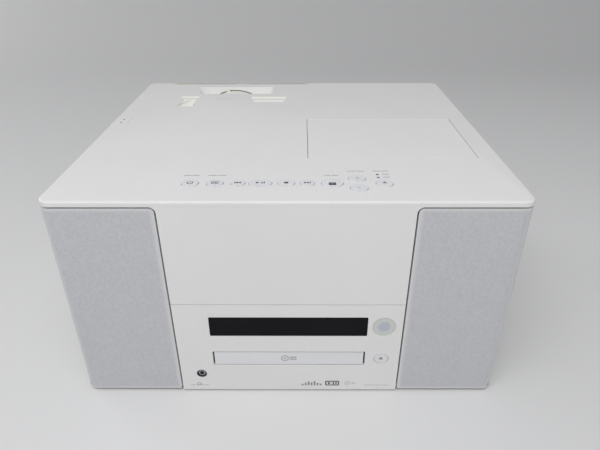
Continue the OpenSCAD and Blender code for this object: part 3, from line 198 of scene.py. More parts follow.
class Finish:
    """A material made of nodes, with one Principled shader."""

    # A Mix node's colour sockets, which share their names with its other ones
    MIX_FACTOR, MIX_FIRST, MIX_SECOND, MIX_RESULT = 0, 6, 7, 2

    def __init__(self, name, colour, roughness, **constants):
        self.name = name
        self.material = bpy.data.materials.new(name)
        self.material.use_nodes = True
        self.tree = self.material.node_tree
        self.shader = self.tree.nodes["Principled BSDF"]
        self.shader.inputs["Base Color"].default_value = (*colour, 1)
        self.shader.inputs["Roughness"].default_value = roughness
        for key, value in constants.items():
            self.shader.inputs[key.replace("_", " ")].default_value = value

    def node(self, kind, settings=None, inputs=None):
        """Any node: its settings first, then the values or links of its sockets."""
        made = self.tree.nodes.new(kind)
        for key, value in (settings or {}).items():
            setattr(made, key, value)
        for key, value in (inputs or {}).items():
            if isinstance(value, Value):
                self.tree.links.new(value.socket, made.inputs[key])
            else:
                made.inputs[key].default_value = value
        return made

    def value(self, node, output=0):
        """What a node gives, ready for arithmetic."""
        return Value(self, node.outputs[output])

    def place(self):
        """Where a point lies in the row frame, in millimetres, as X, Y and Z."""
        where = self.node("ShaderNodeTexCoord")
        scaled = self.node("ShaderNodeVectorMath", {"operation": "SCALE"},
                           {0: self.value(where, "Object"), "Scale": 1 / MM})
        apart = self.node("ShaderNodeSeparateXYZ", None, {0: self.value(scaled)})
        return [self.value(apart, i) for i in range(3)]

    def noise(self, size, detail, stretch=(1, 1, 1)):
        """Noise from 0 to 1 whose blotches are about size millimetres."""
        where = self.node("ShaderNodeTexCoord")
        scale = [s / (size * MM) for s in stretch]
        mapped = self.node("ShaderNodeMapping", None,
                           {"Vector": self.value(where, "Object"), "Scale": scale})
        made = self.node("ShaderNodeTexNoise", None,
                         {"Vector": self.value(mapped), "Scale": 1.0, "Detail": detail,
                          "Roughness": NOISE_ROUGHNESS})
        return self.value(made)

    def cells(self, size):
        """Distance from the middle of round cells that are about size millimetres wide."""
        where = self.node("ShaderNodeTexCoord")
        made = self.node("ShaderNodeTexVoronoi", None,
                         {"Vector": self.value(where, "Object"), "Scale": 1 / (size * MM)})
        return self.value(made)

    def mix(self, factor, first, second):
        """first where factor is 0, second where it is 1: colours, or values that are colours."""
        first, second = (colour if isinstance(colour, Value) else (*colour, 1)
                         for colour in (first, second))
        made = self.node("ShaderNodeMix", {"data_type": "RGBA", "clamp_factor": True},
                         {self.MIX_FACTOR: factor, self.MIX_FIRST: first,
                          self.MIX_SECOND: second})
        return self.value(made, self.MIX_RESULT)

    def feed(self, socket, value):
        """Links a value to one of the shader's sockets."""
        self.tree.links.new(value.socket, self.shader.inputs[socket])

    def fed(self, socket):
        """What one of the shader's sockets is fed so far."""
        return Value(self, self.shader.inputs[socket].links[0].from_socket)

    def bump(self, height, strength, distance_mm, soft_mm=0.0):
        """Relief in the surface, over edges that look rounded by soft_mm."""
        made = self.node("ShaderNodeBump", None,
                         {"Height": height, "Strength": strength, "Distance": distance_mm * MM})
        if soft_mm:
            soft = self.node("ShaderNodeBevel", {"samples": 4}, {"Radius": soft_mm * MM})
            self.tree.links.new(soft.outputs[0], made.inputs["Normal"])
        self.tree.links.new(made.outputs[0], self.shader.inputs["Normal"])

    def wear(self, amount):
        """Mask of the shape's own outward edges."""
        shape = self.node("ShaderNodeNewGeometry")
        return self.value(shape, "Pointiness").above(FLAT_POINTINESS + 0.03, 0.02) * amount


def shade(colour, factor):
    """A lighter or darker tone of a colour."""
    return tuple(min(1.0, c * factor) for c in colour)


# ---------------------------------------------------------------- finishes

CASE_WHITE = (0.705, 0.70, 0.70)
# Painted light: the inside of the focus ring's pocket, painted a lighter white than the case
POCKET_PAINTED_LIGHT = (0.78, 0.785, 0.77)
RING_WHITE = (0.72, 0.72, 0.655)
TRAY_WHITE = (0.68, 0.69, 0.705)
BUTTON_WHITE = (0.68, 0.69, 0.71)
GRILLE_GREY = (0.525, 0.53, 0.555)
GRILLE_RIM = (0.63, 0.635, 0.64)
GLUE_YELLOW = (0.95, 0.95, 0.86)
EDGE_GREY = (0.34, 0.33, 0.30)
STAIN_YELLOW = (0.52, 0.49, 0.24)
SCRATCH_GREY = (0.34, 0.34, 0.36)
SMEAR_BROWN = (0.42, 0.40, 0.30)
BOARD_GREEN = (0.020, 0.095, 0.045)
TRACK_GREEN = (0.05, 0.19, 0.09)
TINNED = (0.55, 0.56, 0.58)
LENS_DARK = (0.03, 0.03, 0.032)
RECEIVER_TONE = (0.62, 0.62, 0.59)
RECEIVER_PALE = (0.58, 0.59, 0.58)
RECEIVER_BLUE = (0.42, 0.46, 0.52)
RECEIVER_BEIGE = (0.55, 0.54, 0.48)
RECEIVER_MILK = (0.60, 0.62, 0.64)
PAPER_TONE = (0.035, 0.035, 0.04)
PAPER_DARK = (0.02, 0.02, 0.022)
PAPER_FIBRE = (0.07, 0.07, 0.075)


def moulded_plastic(name, colour, roughness, grain_mm=0.35, depth_mm=0.012, mottle=0.03,
                    soft_mm=0.3, worn=0.35, **constants):
    """Moulded plastic: fine grain, a faint drift of colour and slightly rubbed edges."""
    finish = Finish(name, colour, roughness, **constants)
    drift = finish.noise(60, detail=2)
    dust = finish.noise(1.6, detail=4)
    tone = finish.mix(drift, shade(colour, 1 - mottle), shade(colour, 1 + mottle))
    tone = finish.mix(dust.above(0.72, 0.06) * 0.25, tone, shade(colour, 0.86))
    if worn:
        tone = finish.mix(finish.wear(worn), tone, shade(colour, 1.12))
    finish.feed("Base Color", tone)
    finish.feed("Roughness", finish.noise(9, detail=3) * 0.14 + (roughness - 0.07))
    finish.bump(finish.noise(grain_mm, detail=2), 0.35, depth_mm, soft_mm)
    return finish


# Marks that age has left on the top: low X, high X, low Y, high Y in millimetres
GLUE_STRIPS = [(-44, -7, 88, 96), (-41, -9, 76.5, 83.5), (-121, -102, 91, 97.5),
               (-116, -103.5, 61, 86)]
BACK_EDGE_LINE = (-138, 17, 148.7, 153.0)
BACK_EDGE_STAIN = (-140, -124, 148, 152)
SCRATCH = (-82, -65, 86, 87.8)
DARK_SPOT = (-103.2, -101.6, 66, 69.5)
BROWN_SMEAR = (-148.0, -142.5, 60.5, 82)
SMEAR_LEAN = 0.42
RAGGED_REACH = 5
TOP_MARGIN = 1

# The pocket over the focus ring, and how high its floor and its rim lie; its inside is painted
# lighter as painted light
POCKET = (-111, -22.8, 107.2, 139.2)
POCKET_LOW, POCKET_HIGH = 169, 179.2

# A painted highlight along the lamp cover's rear edge: its width, and its distance from the
# cover's sides
HIGHLIGHT_BAND_WIDTH = 2.5
HIGHLIGHT_BAND_INSET = 0.1


def patch(x, y, area, soft_x, soft_y):
    """1 inside an area of the top, with edges that are soft over some millimetres."""
    low_x, high_x, low_y, high_y = area
    return x.between(low_x, high_x, soft_x) * y.between(low_y, high_y, soft_y)


def painted_highlight_band():
    """Where a highlight is painted along the lamp cover's rear edge, as an area of the top."""
    low, high = box_mm("lamp_cover")
    rear = high.y - HIGHLIGHT_BAND_INSET
    return low.x + HIGHLIGHT_BAND_INSET, high.x - HIGHLIGHT_BAND_INSET, rear - HIGHLIGHT_BAND_WIDTH, rear


def case_plastic():
    """The case's white plastic, with the marks that age has left on its top, a painted highlight
    on the lamp cover's rear edge and painted light inside the focus ring's pocket.
    """
    finish = moulded_plastic("case_white", CASE_WHITE, 0.42, Specular_IOR_Level=0.45)
    x, y, z = finish.place()
    ragged = (finish.noise(5, detail=3) - 0.5) * RAGGED_REACH
    on_top = z.above(TOP_MM - TOP_MARGIN, 0.3)
    glue = None
    for area in GLUE_STRIPS:
        strip = patch(x + ragged * 0.4, y + ragged * 0.3, area, 0.5, 0.6)
        glue = strip if glue is None else glue.math("MAXIMUM", strip)
    thin = finish.noise(7, detail=4).above(0.40, 0.14)
    glue = glue * on_top * (thin * 0.4 + 0.6)
    line = patch(x, y + ragged * 0.15, BACK_EDGE_LINE, 4, 0.5) * on_top
    line = line * (finish.noise(14, detail=3).above(0.40, 0.1) * 0.4 + 0.35)
    stain = patch(x, y + ragged * 0.3, BACK_EDGE_STAIN, 4, 1.2) * on_top
    scratch = patch(x, y + ragged * 0.1, SCRATCH, 1.5, 0.5) * on_top
    spot = patch(x, y, DARK_SPOT, 0.4, 0.8) * on_top
    slant = x - y * SMEAR_LEAN + ragged * 0.5
    brown = patch(slant, y + ragged * 0.4, BROWN_SMEAR, 2, 2) * on_top
    brown = brown * finish.noise(6, detail=4).above(0.42, 0.12)
    # Painted highlight: the lamp cover's rear edge painted a lighter white
    edge_highlight = patch(x, y, painted_highlight_band(), 0.3, 0.3) * on_top
    # Painted light: the focus ring pocket's inside painted a lighter white
    pocket_painted_light = patch(x, y, POCKET, 0.05, 0.05) * z.between(POCKET_LOW, POCKET_HIGH, 0.05)
    tone = finish.fed("Base Color")
    for share, colour in [(glue * 0.95, GLUE_YELLOW),
                          (line, EDGE_GREY),
                          (stain * 0.8, STAIN_YELLOW),
                          (scratch * 0.35 + spot * 0.7, SCRATCH_GREY),
                          (brown * 0.5, SMEAR_BROWN),
                          (edge_highlight * 0.8, shade(CASE_WHITE, 1.14)),
                          (pocket_painted_light, POCKET_PAINTED_LIGHT)]:
        tone = finish.mix(share, tone, colour)
    finish.feed("Base Color", tone)
    return finish


def disc_bed():
    """The tray's plastic, with faint scuffs where discs are laid down."""
    finish = moulded_plastic("disc_bed", CASE_WHITE, 0.4, worn=0)
    scuffs = finish.noise(9, detail=5, stretch=(1, 0.25, 1)).above(0.63, 0.05) * 0.5
    finish.feed("Base Color",
                finish.mix(scuffs, finish.fed("Base Color"), shade(CASE_WHITE, 0.93)))
    return finish


HOLE_PITCH = 1.1

# Width of the grilles' plain rim: beside the panel, round the corner, below and above
RIM_INNER, RIM_OUTER, RIM_LOW, RIM_HIGH = 2.3, 4.2, 1.7, 1.8


def grille_sheet():
    """Fine mesh over the speakers: rows of small dark holes in light grey paint."""
    finish = Finish("grille_grey", GRILLE_GREY, 0.5, Specular_IOR_Level=0.4)
    x, _, z = finish.place()
    low, high = box_mm("right_grille")
    across = x.math("ABSOLUTE").between(low.x + RIM_INNER, high.x - RIM_OUTER, 2.5)
    pierced = across * z.between(low.z + RIM_LOW, high.z - RIM_HIGH, 1.5)
    wave_x, wave_z = ((along * (2 * math.pi / HOLE_PITCH)).math("SINE") for along in (x, z))
    holes = (wave_x * wave_z).above(0.30, 0.3) * pierced
    speck = finish.noise(1.6, detail=4)
    cloud = finish.noise(14, detail=3)
    tone = finish.mix(speck.above(0.5, 0.2), shade(GRILLE_GREY, 0.92), shade(GRILLE_GREY, 1.075))
    tone = finish.mix(cloud * 0.5, tone, shade(GRILLE_GREY, 1.04))
    tone = finish.mix(pierced, GRILLE_RIM, tone)
    tone = finish.mix(holes * 0.22, tone, shade(GRILLE_GREY, 0.5))
    finish.feed("Base Color", tone)
    finish.feed("Roughness", finish.noise(12, detail=2) * 0.1 + 0.45)
    finish.bump(1 - holes, strength=0.4, distance_mm=0.08, soft_mm=0.4)
    return finish


def gloss(name, colour, roughness, **constants):
    """Polished plastic with a few hairline scuffs."""
    finish = Finish(name, colour, roughness, **constants)
    scuffs = finish.noise(3, detail=4, stretch=(0.15, 1, 1)).above(0.66, 0.05)
    finish.feed("Roughness", scuffs * 0.12 + roughness)
    finish.feed("Base Color", finish.mix(finish.noise(30, detail=2), colour, shade(colour, 1.6)))
    finish.bump(finish.noise(25, detail=1), strength=0.05, distance_mm=0.05)
    return finish


def metal(name, colour, roughness, stretch=(1, 1, 1)):
    """Plated or cast metal with fine lines along one way."""
    finish = Finish(name, colour, roughness, Metallic=1.0)
    lines = finish.noise(0.8, detail=4, stretch=stretch)
    blotches = finish.noise(12, detail=3)
    finish.feed("Base Color", finish.mix(blotches, shade(colour, 0.88), shade(colour, 1.1)))
    finish.feed("Roughness", lines * 0.2 + (roughness - 0.1))
    finish.bump(lines, strength=0.25, distance_mm=0.02)
    return finish


def rubber(name, colour):
    """Dull rubber, dusty in places."""
    finish = Finish(name, colour, 0.78, Specular_IOR_Level=0.3)
    dust = finish.noise(4, detail=4)
    finish.feed("Base Color", finish.mix(dust, shade(colour, 0.8), shade(colour, 1.4)))
    finish.bump(finish.noise(0.5, detail=3), strength=0.5, distance_mm=0.05)
    return finish


def foam(name, colour):
    """Open foam with round pores."""
    finish = Finish(name, colour, 0.95, Specular_IOR_Level=0.1)
    pores = finish.cells(1.6)
    walls = pores.above(0.45, 0.2)
    finish.feed("Base Color", finish.mix(walls, shade(colour, 0.4), shade(colour, 1.5)))
    finish.bump(pores, strength=0.9, distance_mm=0.5)
    return finish


def circuit_board(name):
    """Green lacquer with a grid of lighter tracks and tinned pads."""
    finish = Finish(name, BOARD_GREEN, 0.35)
    tracks = finish.noise(9, detail=1, stretch=(1, 0.12, 1)).between(0.47, 0.53, 0.01)
    crossing = finish.noise(11, detail=1, stretch=(0.12, 1, 1)).between(0.47, 0.52, 0.01)
    pads = 1 - finish.cells(5).above(0.16, 0.02)
    tone = finish.mix(tracks.math("MAXIMUM", crossing), BOARD_GREEN, TRACK_GREEN)
    tone = finish.mix(pads, tone, TINNED)
    finish.feed("Base Color", tone)
    finish.feed("Metallic", pads * 0.9)
    finish.bump(tracks, strength=0.3, distance_mm=0.04)
    return finish


def clear_glass(name, tint, roughness=0.02):
    """Clear glass with a few smudges."""
    finish = Finish(name, tint, roughness, Transmission_Weight=1.0, IOR=1.5)
    finish.feed("Roughness", finish.noise(6, detail=4).above(0.7, 0.1) * 0.06 + roughness)
    return finish


STATUS_RADIUS = 1.5
STATUS_LENS_RADIUS = 1.0


def indicator_lens():
    """Pale surround with a small dark lens in the middle of each status light."""
    finish = moulded_plastic("indicator_lens", BUTTON_WHITE, 0.3, grain_mm=0.8, depth_mm=0.004)
    x, y, _ = finish.place()
    low, high = box_mm("status_lights")
    dx = x - (low.x + high.x) / 2
    dark = None
    for light_y in (high.y - STATUS_RADIUS, low.y + STATUS_RADIUS):
        dy = y - light_y
        lens = 1 - (dx * dx + dy * dy).math("SQRT").above(STATUS_LENS_RADIUS, 0.12)
        dark = lens if dark is None else dark + lens
    finish.feed("Base Color", finish.mix(dark, finish.fed("Base Color"), LENS_DARK))
    return finish


# The receiver window's bluish disc, and where its beige edge lies, as radii in millimetres
RECEIVER_DISC = 4.9
RECEIVER_EDGE = (7.9, 8.9)


def receiver_window():
    """Milky window: a bluish disc inside a pale ring with a fine beige edge."""
    finish = Finish("milky_window", RECEIVER_TONE, 0.28, Specular_IOR_Level=0.5)
    x, _, z = finish.place()
    middle = middle_mm("sensor_window")
    dx = x - middle.x
    dz = z - middle.z
    radius = (dx * dx + dz * dz).math("SQRT")
    inner = 1 - radius.above(RECEIVER_DISC, 1.6)
    edge = radius.between(*RECEIVER_EDGE, 0.5)
    tone = finish.mix(inner, RECEIVER_PALE, RECEIVER_BLUE)
    tone = finish.mix(edge, tone, RECEIVER_BEIGE)
    tone = finish.mix(finish.noise(3, detail=3) * 0.3, tone, RECEIVER_MILK)
    finish.feed("Base Color", tone)
    finish.bump(finish.noise(1.2, detail=2), strength=0.1, distance_mm=0.03)
    return finish


def ink(name, colour):
    """Printing ink, a little thin in places."""
    finish = Finish(name, colour, 0.5, Specular_IOR_Level=0.3)
    thin = finish.noise(1.1, detail=3).above(0.62, 0.08)
    worn = tuple(c + (w - c) * 0.3 for c, w in zip(colour, CASE_WHITE))
    finish.feed("Base Color", finish.mix(thin, colour, worn))
    finish.feed("Roughness", thin * 0.1 + 0.45)
    finish.bump(thin, strength=0.2, distance_mm=0.01)
    return finish


def paper_cone(name):
    """Dark paper with fibres in it."""
    finish = Finish(name, PAPER_TONE, 0.85)
    fibres = finish.noise(1.2, detail=5, stretch=(1, 0.3, 1))
    finish.feed("Base Color", finish.mix(fibres, PAPER_DARK, PAPER_FIBRE))
    finish.bump(fibres, strength=0.6, distance_mm=0.1)
    return finish


SOCKET_COLOURS = {
    "socket_yellow": (0.72, 0.52, 0.05),
    "socket_white": (0.70, 0.70, 0.68),
    "socket_red": (0.46, 0.03, 0.03),
    "socket_green": (0.04, 0.30, 0.10),
    "socket_blue": (0.03, 0.12, 0.42),
}


def all_finishes():
    """Every finish by its name: first those of the record's material slots, then others."""
    made = [
        case_plastic(),
        moulded_plastic("button_white", BUTTON_WHITE, 0.28, grain_mm=0.6, depth_mm=0.006),
        grille_sheet(),
        gloss("gloss_black", (0.006, 0.006, 0.007), 0.12, Specular_IOR_Level=0.09),
        moulded_plastic("dark_plastic", (0.022, 0.022, 0.025), 0.5, grain_mm=0.5, depth_mm=0.02,
                        mottle=0.12),
        rubber("rubber_grey", (0.035, 0.035, 0.037)),
        foam("foam", (0.045, 0.045, 0.05)),
        circuit_board("circuit_board"),
        metal("zinc_steel", (0.56, 0.57, 0.59), 0.34, (0.1, 1, 1)),
        metal("cast_magnesium", (0.42, 0.43, 0.45), 0.55),
        metal("brass", (0.62, 0.44, 0.17), 0.3),
        clear_glass("clear_glass", (0.94, 0.97, 0.98)),
        receiver_window(),
        paper_cone("speaker_cone"),
        disc_bed(),
        moulded_plastic("tray_white", TRAY_WHITE, 0.38),
        moulded_plastic("ring_white", RING_WHITE, 0.42),
        indicator_lens(),
        ink("ink_dark", (0.055, 0.055, 0.06)),
        ink("ink_grey", (0.25, 0.25, 0.26)),
        ink("ink_faint", (0.46, 0.47, 0.47)),
        metal("plate_silver", (0.66, 0.67, 0.68), 0.42, (0.05, 1, 1)),
    ]
    made += [moulded_plastic(name, colour, 0.4) for name, colour in SOCKET_COLOURS.items()]
    return {finish.name: finish for finish in made}


def paint(obj, finish):
    """Gives every slot of an object the finish."""
    if not obj.material_slots:
        obj.data.materials.append(finish.material)
    for place in obj.material_slots:
        place.material = finish.material


# ---------------------------------------------------------------- shaping by hand

# Thickness of printing and the radii of its corners, in millimetres
PRINT_DEEP = 0.1
BAR_CORNER = 0.12
TRIANGLE_CORNER = 0.1


def only(piece):
    """The one piece that the next operator works on."""
    bpy.ops.object.select_all(action="DESELECT")
    piece.select_set(True)
    bpy.context.view_layer.objects.active = piece


def settle(piece):
    """The piece keeps its place in its own mesh, and its object lies at the origin."""
    only(piece)
    bpy.ops.object.transform_apply(location=True, rotation=True, scale=True)


@contextmanager
def shaping(piece, kind="FACE"):
    """Edit mode on one piece, with nothing selected at first."""
    only(piece)
    bpy.ops.object.mode_set(mode="EDIT")
    bpy.ops.mesh.select_mode(type=kind)
    bpy.ops.mesh.select_all(action="DESELECT")
    yield
    bpy.ops.object.mode_set(mode="OBJECT")


def pick_faces(piece, test):
    """Selects the faces whose middle passes the test."""
    mesh = bmesh.from_edit_mesh(piece.data)
    for face in mesh.faces:
        if test(face.calc_center_median()):
            face.select_set(True)
    bmesh.update_edit_mesh(piece.data)


def pick_edges(piece, test):
    """Selects the edges whose two ends pass the test."""
    mesh = bmesh.from_edit_mesh(piece.data)
    for edge in mesh.edges:
        if test(*(end.co for end in edge.verts)):
            edge.select_set(True)
    bmesh.update_edit_mesh(piece.data)


def upright(a, b):
    """Whether an edge between two points runs up more than along."""
    return abs((a - b).z) > 0.5 * (a - b).length


def round_corners(piece, corner):
    """Rounds the upright edges of a flat piece."""
    with shaping(piece, "EDGE"):
        pick_edges(piece, upright)
        bpy.ops.mesh.bevel(offset=corner * MM, segments=2, affect="EDGES")


def thicken(deep):
    """Gives the flat sheet in edit mode its thickness, with its faces pointing outwards."""
    bpy.ops.mesh.select_all(action="SELECT")
    bpy.ops.mesh.extrude_region_move(TRANSFORM_OT_translate={"value": (0, 0, deep * MM)})
    bpy.ops.mesh.select_all(action="SELECT")
    bpy.ops.mesh.normals_make_consistent(inside=False)


def bar(width, depth, at=(0, 0), turn=0.0, corner=BAR_CORNER, deep=PRINT_DEEP):
    """Flat bar with rounded corners, drawn in the plane of the print."""
    bpy.ops.mesh.primitive_cube_add(size=1, location=mm(*at, 0),
                                    rotation=(0, 0, math.radians(turn)))
    piece = bpy.context.object
    piece.scale = mm(width, depth, deep)
    settle(piece)
    round_corners(piece, corner)
    return piece


def triangle(width, tall, at=(0, 0), turn=0.0):
    """Flat triangle with rounded corners, which points up before it is turned."""
    bpy.ops.mesh.primitive_cylinder_add(vertices=3, radius=1, depth=1, location=mm(*at, 0),
                                        rotation=(0, 0, math.radians(turn)))
    piece = bpy.context.object
    piece.scale = mm(width / math.sqrt(3), tall / 1.5, PRINT_DEEP)
    settle(piece)
    round_corners(piece, TRIANGLE_CORNER)
    return piece


def ring(outer, inner, at=(0, 0), gap=0.0, sides=40, deep=PRINT_DEEP):
    """Flat ring, open at its top over gap degrees to each side. No inner radius gives a disc."""
    bpy.ops.mesh.primitive_circle_add(vertices=sides, radius=outer * MM, fill_type="NGON",
                                      location=mm(*at, -deep / 2))
    piece = bpy.context.object
    settle(piece)
    middle = mm(*at, 0)
    with shaping(piece):
        if inner:
            bpy.ops.mesh.select_all(action="SELECT")
            bpy.ops.mesh.inset(thickness=(outer - inner) * MM)
            bpy.ops.mesh.delete(type="FACE")
        if gap:
            pick_faces(piece, lambda at: abs(math.atan2(at.x - middle.x, at.y - middle.y))
                       < math.radians(gap))
            bpy.ops.mesh.delete(type="FACE")
        thicken(deep)
    return piece


def frame_of(width, depth, line, corner=0.4):
    """Flat frame round the origin, with rounded corners and an open middle."""
    bpy.ops.mesh.primitive_plane_add(size=1, location=mm(0, 0, -PRINT_DEEP / 2))
    piece = bpy.context.object
    piece.scale = (width * MM, depth * MM, 1)
    settle(piece)
    with shaping(piece, "VERT"):
        bpy.ops.mesh.select_all(action="SELECT")
        bpy.ops.mesh.bevel(offset=corner * MM, segments=3, affect="VERTICES")
    with shaping(piece):
        bpy.ops.mesh.select_all(action="SELECT")
        bpy.ops.mesh.inset(thickness=line * MM)
        bpy.ops.mesh.delete(type="FACE")
        thicken(PRINT_DEEP)
    return piece


def joined(name, parts):
    """Several parts of one sign as one piece."""
    only(parts[0])
    for part in parts:
        part.select_set(True)
    if len(parts) > 1:
        bpy.ops.object.join()
    parts[0].name = name
    return parts[0]


def another(piece, name, shift):
    """A copy with its own mesh, moved by shift millimetres."""
    only(piece)
    bpy.ops.object.duplicate()
    copy = bpy.context.object
    copy.name = name
    copy.location = mm(*shift)
    settle(copy)
    return copy


# How a sign is turned to lie on each side of the case, in degrees
FACINGS = {"top": (0, 0, 0), "front": (90, 0, 0), "back": (90, 0, 180), "under": (180, 0, 0)}
SMOOTH_BELOW = 35


def finished(piece, node_name, finish):
    """Smooths a piece, gives it its finish, and lets it move with the part it is fixed to."""
    only(piece)
    bpy.ops.object.shade_smooth_by_angle(angle=math.radians(SMOOTH_BELOW))
    paint(piece, finishes[finish])
    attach(piece, body_of(nodes[node_name])[0])
    return piece


def printed(name, parts, node_name, ink_name, place, facing="top"):
    """Lays a sign, drawn round the origin, on its face at a place in millimetres."""
    piece = joined(name, parts)
    piece.rotation_euler = [math.radians(a) for a in FACINGS[facing]]
    piece.location = mm(*place)
    settle(piece)
    return finished(piece, node_name, ink_name)


# Width in millimetres of the rounded edges of some CAD nodes, and the facets across them
BUTTON_ROUNDING = (0.35, 2)
ROUNDINGS = {
    "tray_front": (0.55, 3),
    "sensor_window": (0.4, 2),
    "headphone_jack": (0.25, 2),
    "lamp_cover": (0.25, 2),
    "filter_cover": (0.5, 2),
    "lens_shutter": (0.3, 2),
}
SHARP_ABOVE = 50
SAME_CORNER = 0.001


def rounded_edges(node_name, width, segments):
    """Moulded edges of a CAD node, rounded by modifiers that leave its own mesh as it is."""
    part = nodes[node_name]
    weld = part.modifiers.new("merge_corners", "WELD")
    weld.merge_threshold = SAME_CORNER * MM
    edge = part.modifiers.new("mould_radius", "BEVEL")
    edge.width = width * MM
    edge.segments = segments
    edge.limit_method = "ANGLE"
    edge.angle_limit = math.radians(SHARP_ABOVE)
    edge.harden_normals = True


# ---------------------------------------------------------------- signs on the buttons

MENU_SIGN_NEARER = 2.0


def power_sign():
    return [ring(2.3, 1.65, gap=32), bar(0.6, 2.2, (0, 1.4))]


def source_sign():
    return [frame_of(5.2, 3.6, 0.55), bar(1.9, 0.55, (-0.6, 0)),
            triangle(1.6, 1.3, (0.8, 0), -90)]


def skip_sign(turn):
    """Two arrowheads against a bar: to the left when turned by 90, to the right by -90."""
    side = -1 if turn > 0 else 1
    return [triangle(2.7, 2.1, (-1.6 * side, 0), turn), triangle(2.7, 2.1, (0.6 * side, 0), turn),
            bar(0.55, 2.7, (2.1 * side, 0))]


def play_sign():
    return [triangle(2.8, 2.6, (-2.2, 0), -90), bar(0.8, 2.7, (1.3, 0)), bar(0.8, 2.7, (2.9, 0))]


def stop_sign():
    return [bar(3.0, 2.7)]


def menu_sign():
    return [frame_of(5.2, 4.2, 1.0), bar(3.6, 0.8, (0, 0.6)), bar(3.6, 0.8, (0, -0.6))]


def plus_sign():
    return [bar(2.2, 0.5), bar(0.5, 0.8, (0, 0.65)), bar(0.5, 0.8, (0, -0.65))]


def minus_sign():
    return [bar(2.2, 0.5)]


def sun_sign():
    """A disc with eight rays."""
    rays = [bar(0.75, 0.32, (1.75 * math.cos(a), 1.75 * math.sin(a)), math.degrees(a))
            for a in (math.pi / 4 * i for i in range(8))]
    return [ring(0.9, 0)] + rays


def button_signs():
    """The plain symbol in the middle of each button. The menu's lies a little nearer the front."""
    signs = {
        "power_button": power_sign(),
        "source_button": source_sign(),
        "previous_button": skip_sign(90),
        "play_button": play_sign(),
        "stop_button": stop_sign(),
        "next_button": skip_sign(-90),
        "menu_button": menu_sign(),
        "volume_up_button": plus_sign(),
        "volume_down_button": minus_sign(),
        "brightness_button": sun_sign(),
    }
    for node_name, parts in signs.items():
        x, y, _ = middle_mm(node_name)
        if node_name == "menu_button":
            y -= MENU_SIGN_NEARER
        ink_name = "ink_grey" if node_name.startswith("volume") else "ink_dark"
        printed(node_name + "_sign", parts, node_name, ink_name, (x, y, BUTTON_TOP_MM))


# ---------------------------------------------------------------- marks on the case

# Short dashes beside the buttons and the status lights: low X, high X, Y, dashes
TOP_DASHES = [(-76.9, -65.3, -112.3, 2), (-59, -45.7, -112.3, 2), (27.2, 37.2, -112.2, 2),
              (44.2, 57.7, -104.5, 2), (64.3, 75.5, -104.3, 2), (70.2, 75.4, -110.2, 1),
              (70.2, 75.4, -115.4, 1)]
TOP_DASH_WIDTH = 0.75

# Small upright marks near the left edge of the top: X, Y, ink
SIDE_MARKS = [(-161.2, 18.4, "ink_dark"), (-161.3, 9.3, "ink_dark"),
              (-154.4, 19.5, "ink_faint"), (-154.6, 9.6, "ink_faint")]

# Middle of each sign on the front: X and Z in millimetres
HEADPHONE_SIGN_AT = (-75.2, 7.8)
LEVEL_SIGN_AT = (18.6, 8.6)
SCREEN_SIGN_AT = (35.8, 9.0)
DISC_SIGN_AT = (48.2, 9.0)
FINE_LINE_AT = (72.6, 6.9)
EJECT_SIGN_AT = (74.3, 37.1)
TRAY_SIGN_AT = (-3.2, 36.9)

# Low X and high X of the fine line, and its width
FINE_LINE = (62.5, 82.8)
FINE_LINE_WIDTH = 0.7


def dashes(low, high, tall, count=2, gap=0.7):
    """A broken line from low to high, drawn round the origin."""
    middle = (low + high) / 2
    each = (high - low - gap * (count - 1)) / count
    first = low - middle + each / 2
    return [bar(each, tall, (first + i * (each + gap), 0), corner=0.2) for i in range(count)]


def two_dashes(width, tall, x, rise):
    """Two equal dashes, one above and one below the middle line."""
    return [bar(width, tall, (x, rise)), bar(width, tall, (x, -rise))]


def top_marks():
    """The dashes and the small marks on the top."""
    for i, (low, high, y, count) in enumerate(TOP_DASHES):
        printed(f"top_dash_{i}", dashes(low, high, TOP_DASH_WIDTH, count), "upper_case",
                "ink_grey", ((low + high) / 2, y, TOP_MM))
    for i, (x, y, ink_name) in enumerate(SIDE_MARKS):
        printed(f"side_mark_{i}", [bar(1.0, 2.6)], "upper_case", ink_name, (x, y, TOP_MM))


def bars_sign():
    """Seven upright bars of a level meter."""
    heights = (1.8, 3.2, 4.4, 3.4, 4.8, 2.8, 2.0)
    return [bar(1.5, h, ((i - 3) * 2.5, h / 2 - 2.2)) for i, h in enumerate(heights)]


def disc_sign(radius):
    """The outline of a disc round its hole."""
    hole = radius * 0.36
    return [ring(radius, radius - 0.55), ring(hole, hole - 0.4, sides=24)]


def screen_sign():
    return [frame_of(11.6, 5.4, 1.0, corner=0.7), triangle(2.8, 2.4, (-2.6, 0), -90),
            bar(1.1, 2.6, (1.0, 0)), bar(1.1, 2.6, (3.2, 0))]


def headphone_sign():
    """A headphone with a dash to each side."""
    return [ring(1.7, 1.25, (0, 0.2), sides=32), bar(0.9, 1.5, (-1.5, -0.6)),
            bar(0.9, 1.5, (1.5, -0.6)), bar(4.6, 0.4, (-5.2, -1.1)), bar(4.6, 0.4, (5.2, -1.1))]


def eject_sign():
    return [triangle(3.2, 1.7, (0, 0.45)), bar(3.2, 0.45, (0, -0.85))]


def front_sign(name, parts, node_name, ink_name, at, y=FRONT_MM):
    """Lays a sign on the front of the case, or at another Y."""
    x, z = at
    printed(name, parts, node_name, ink_name, (x, y, z), "front")


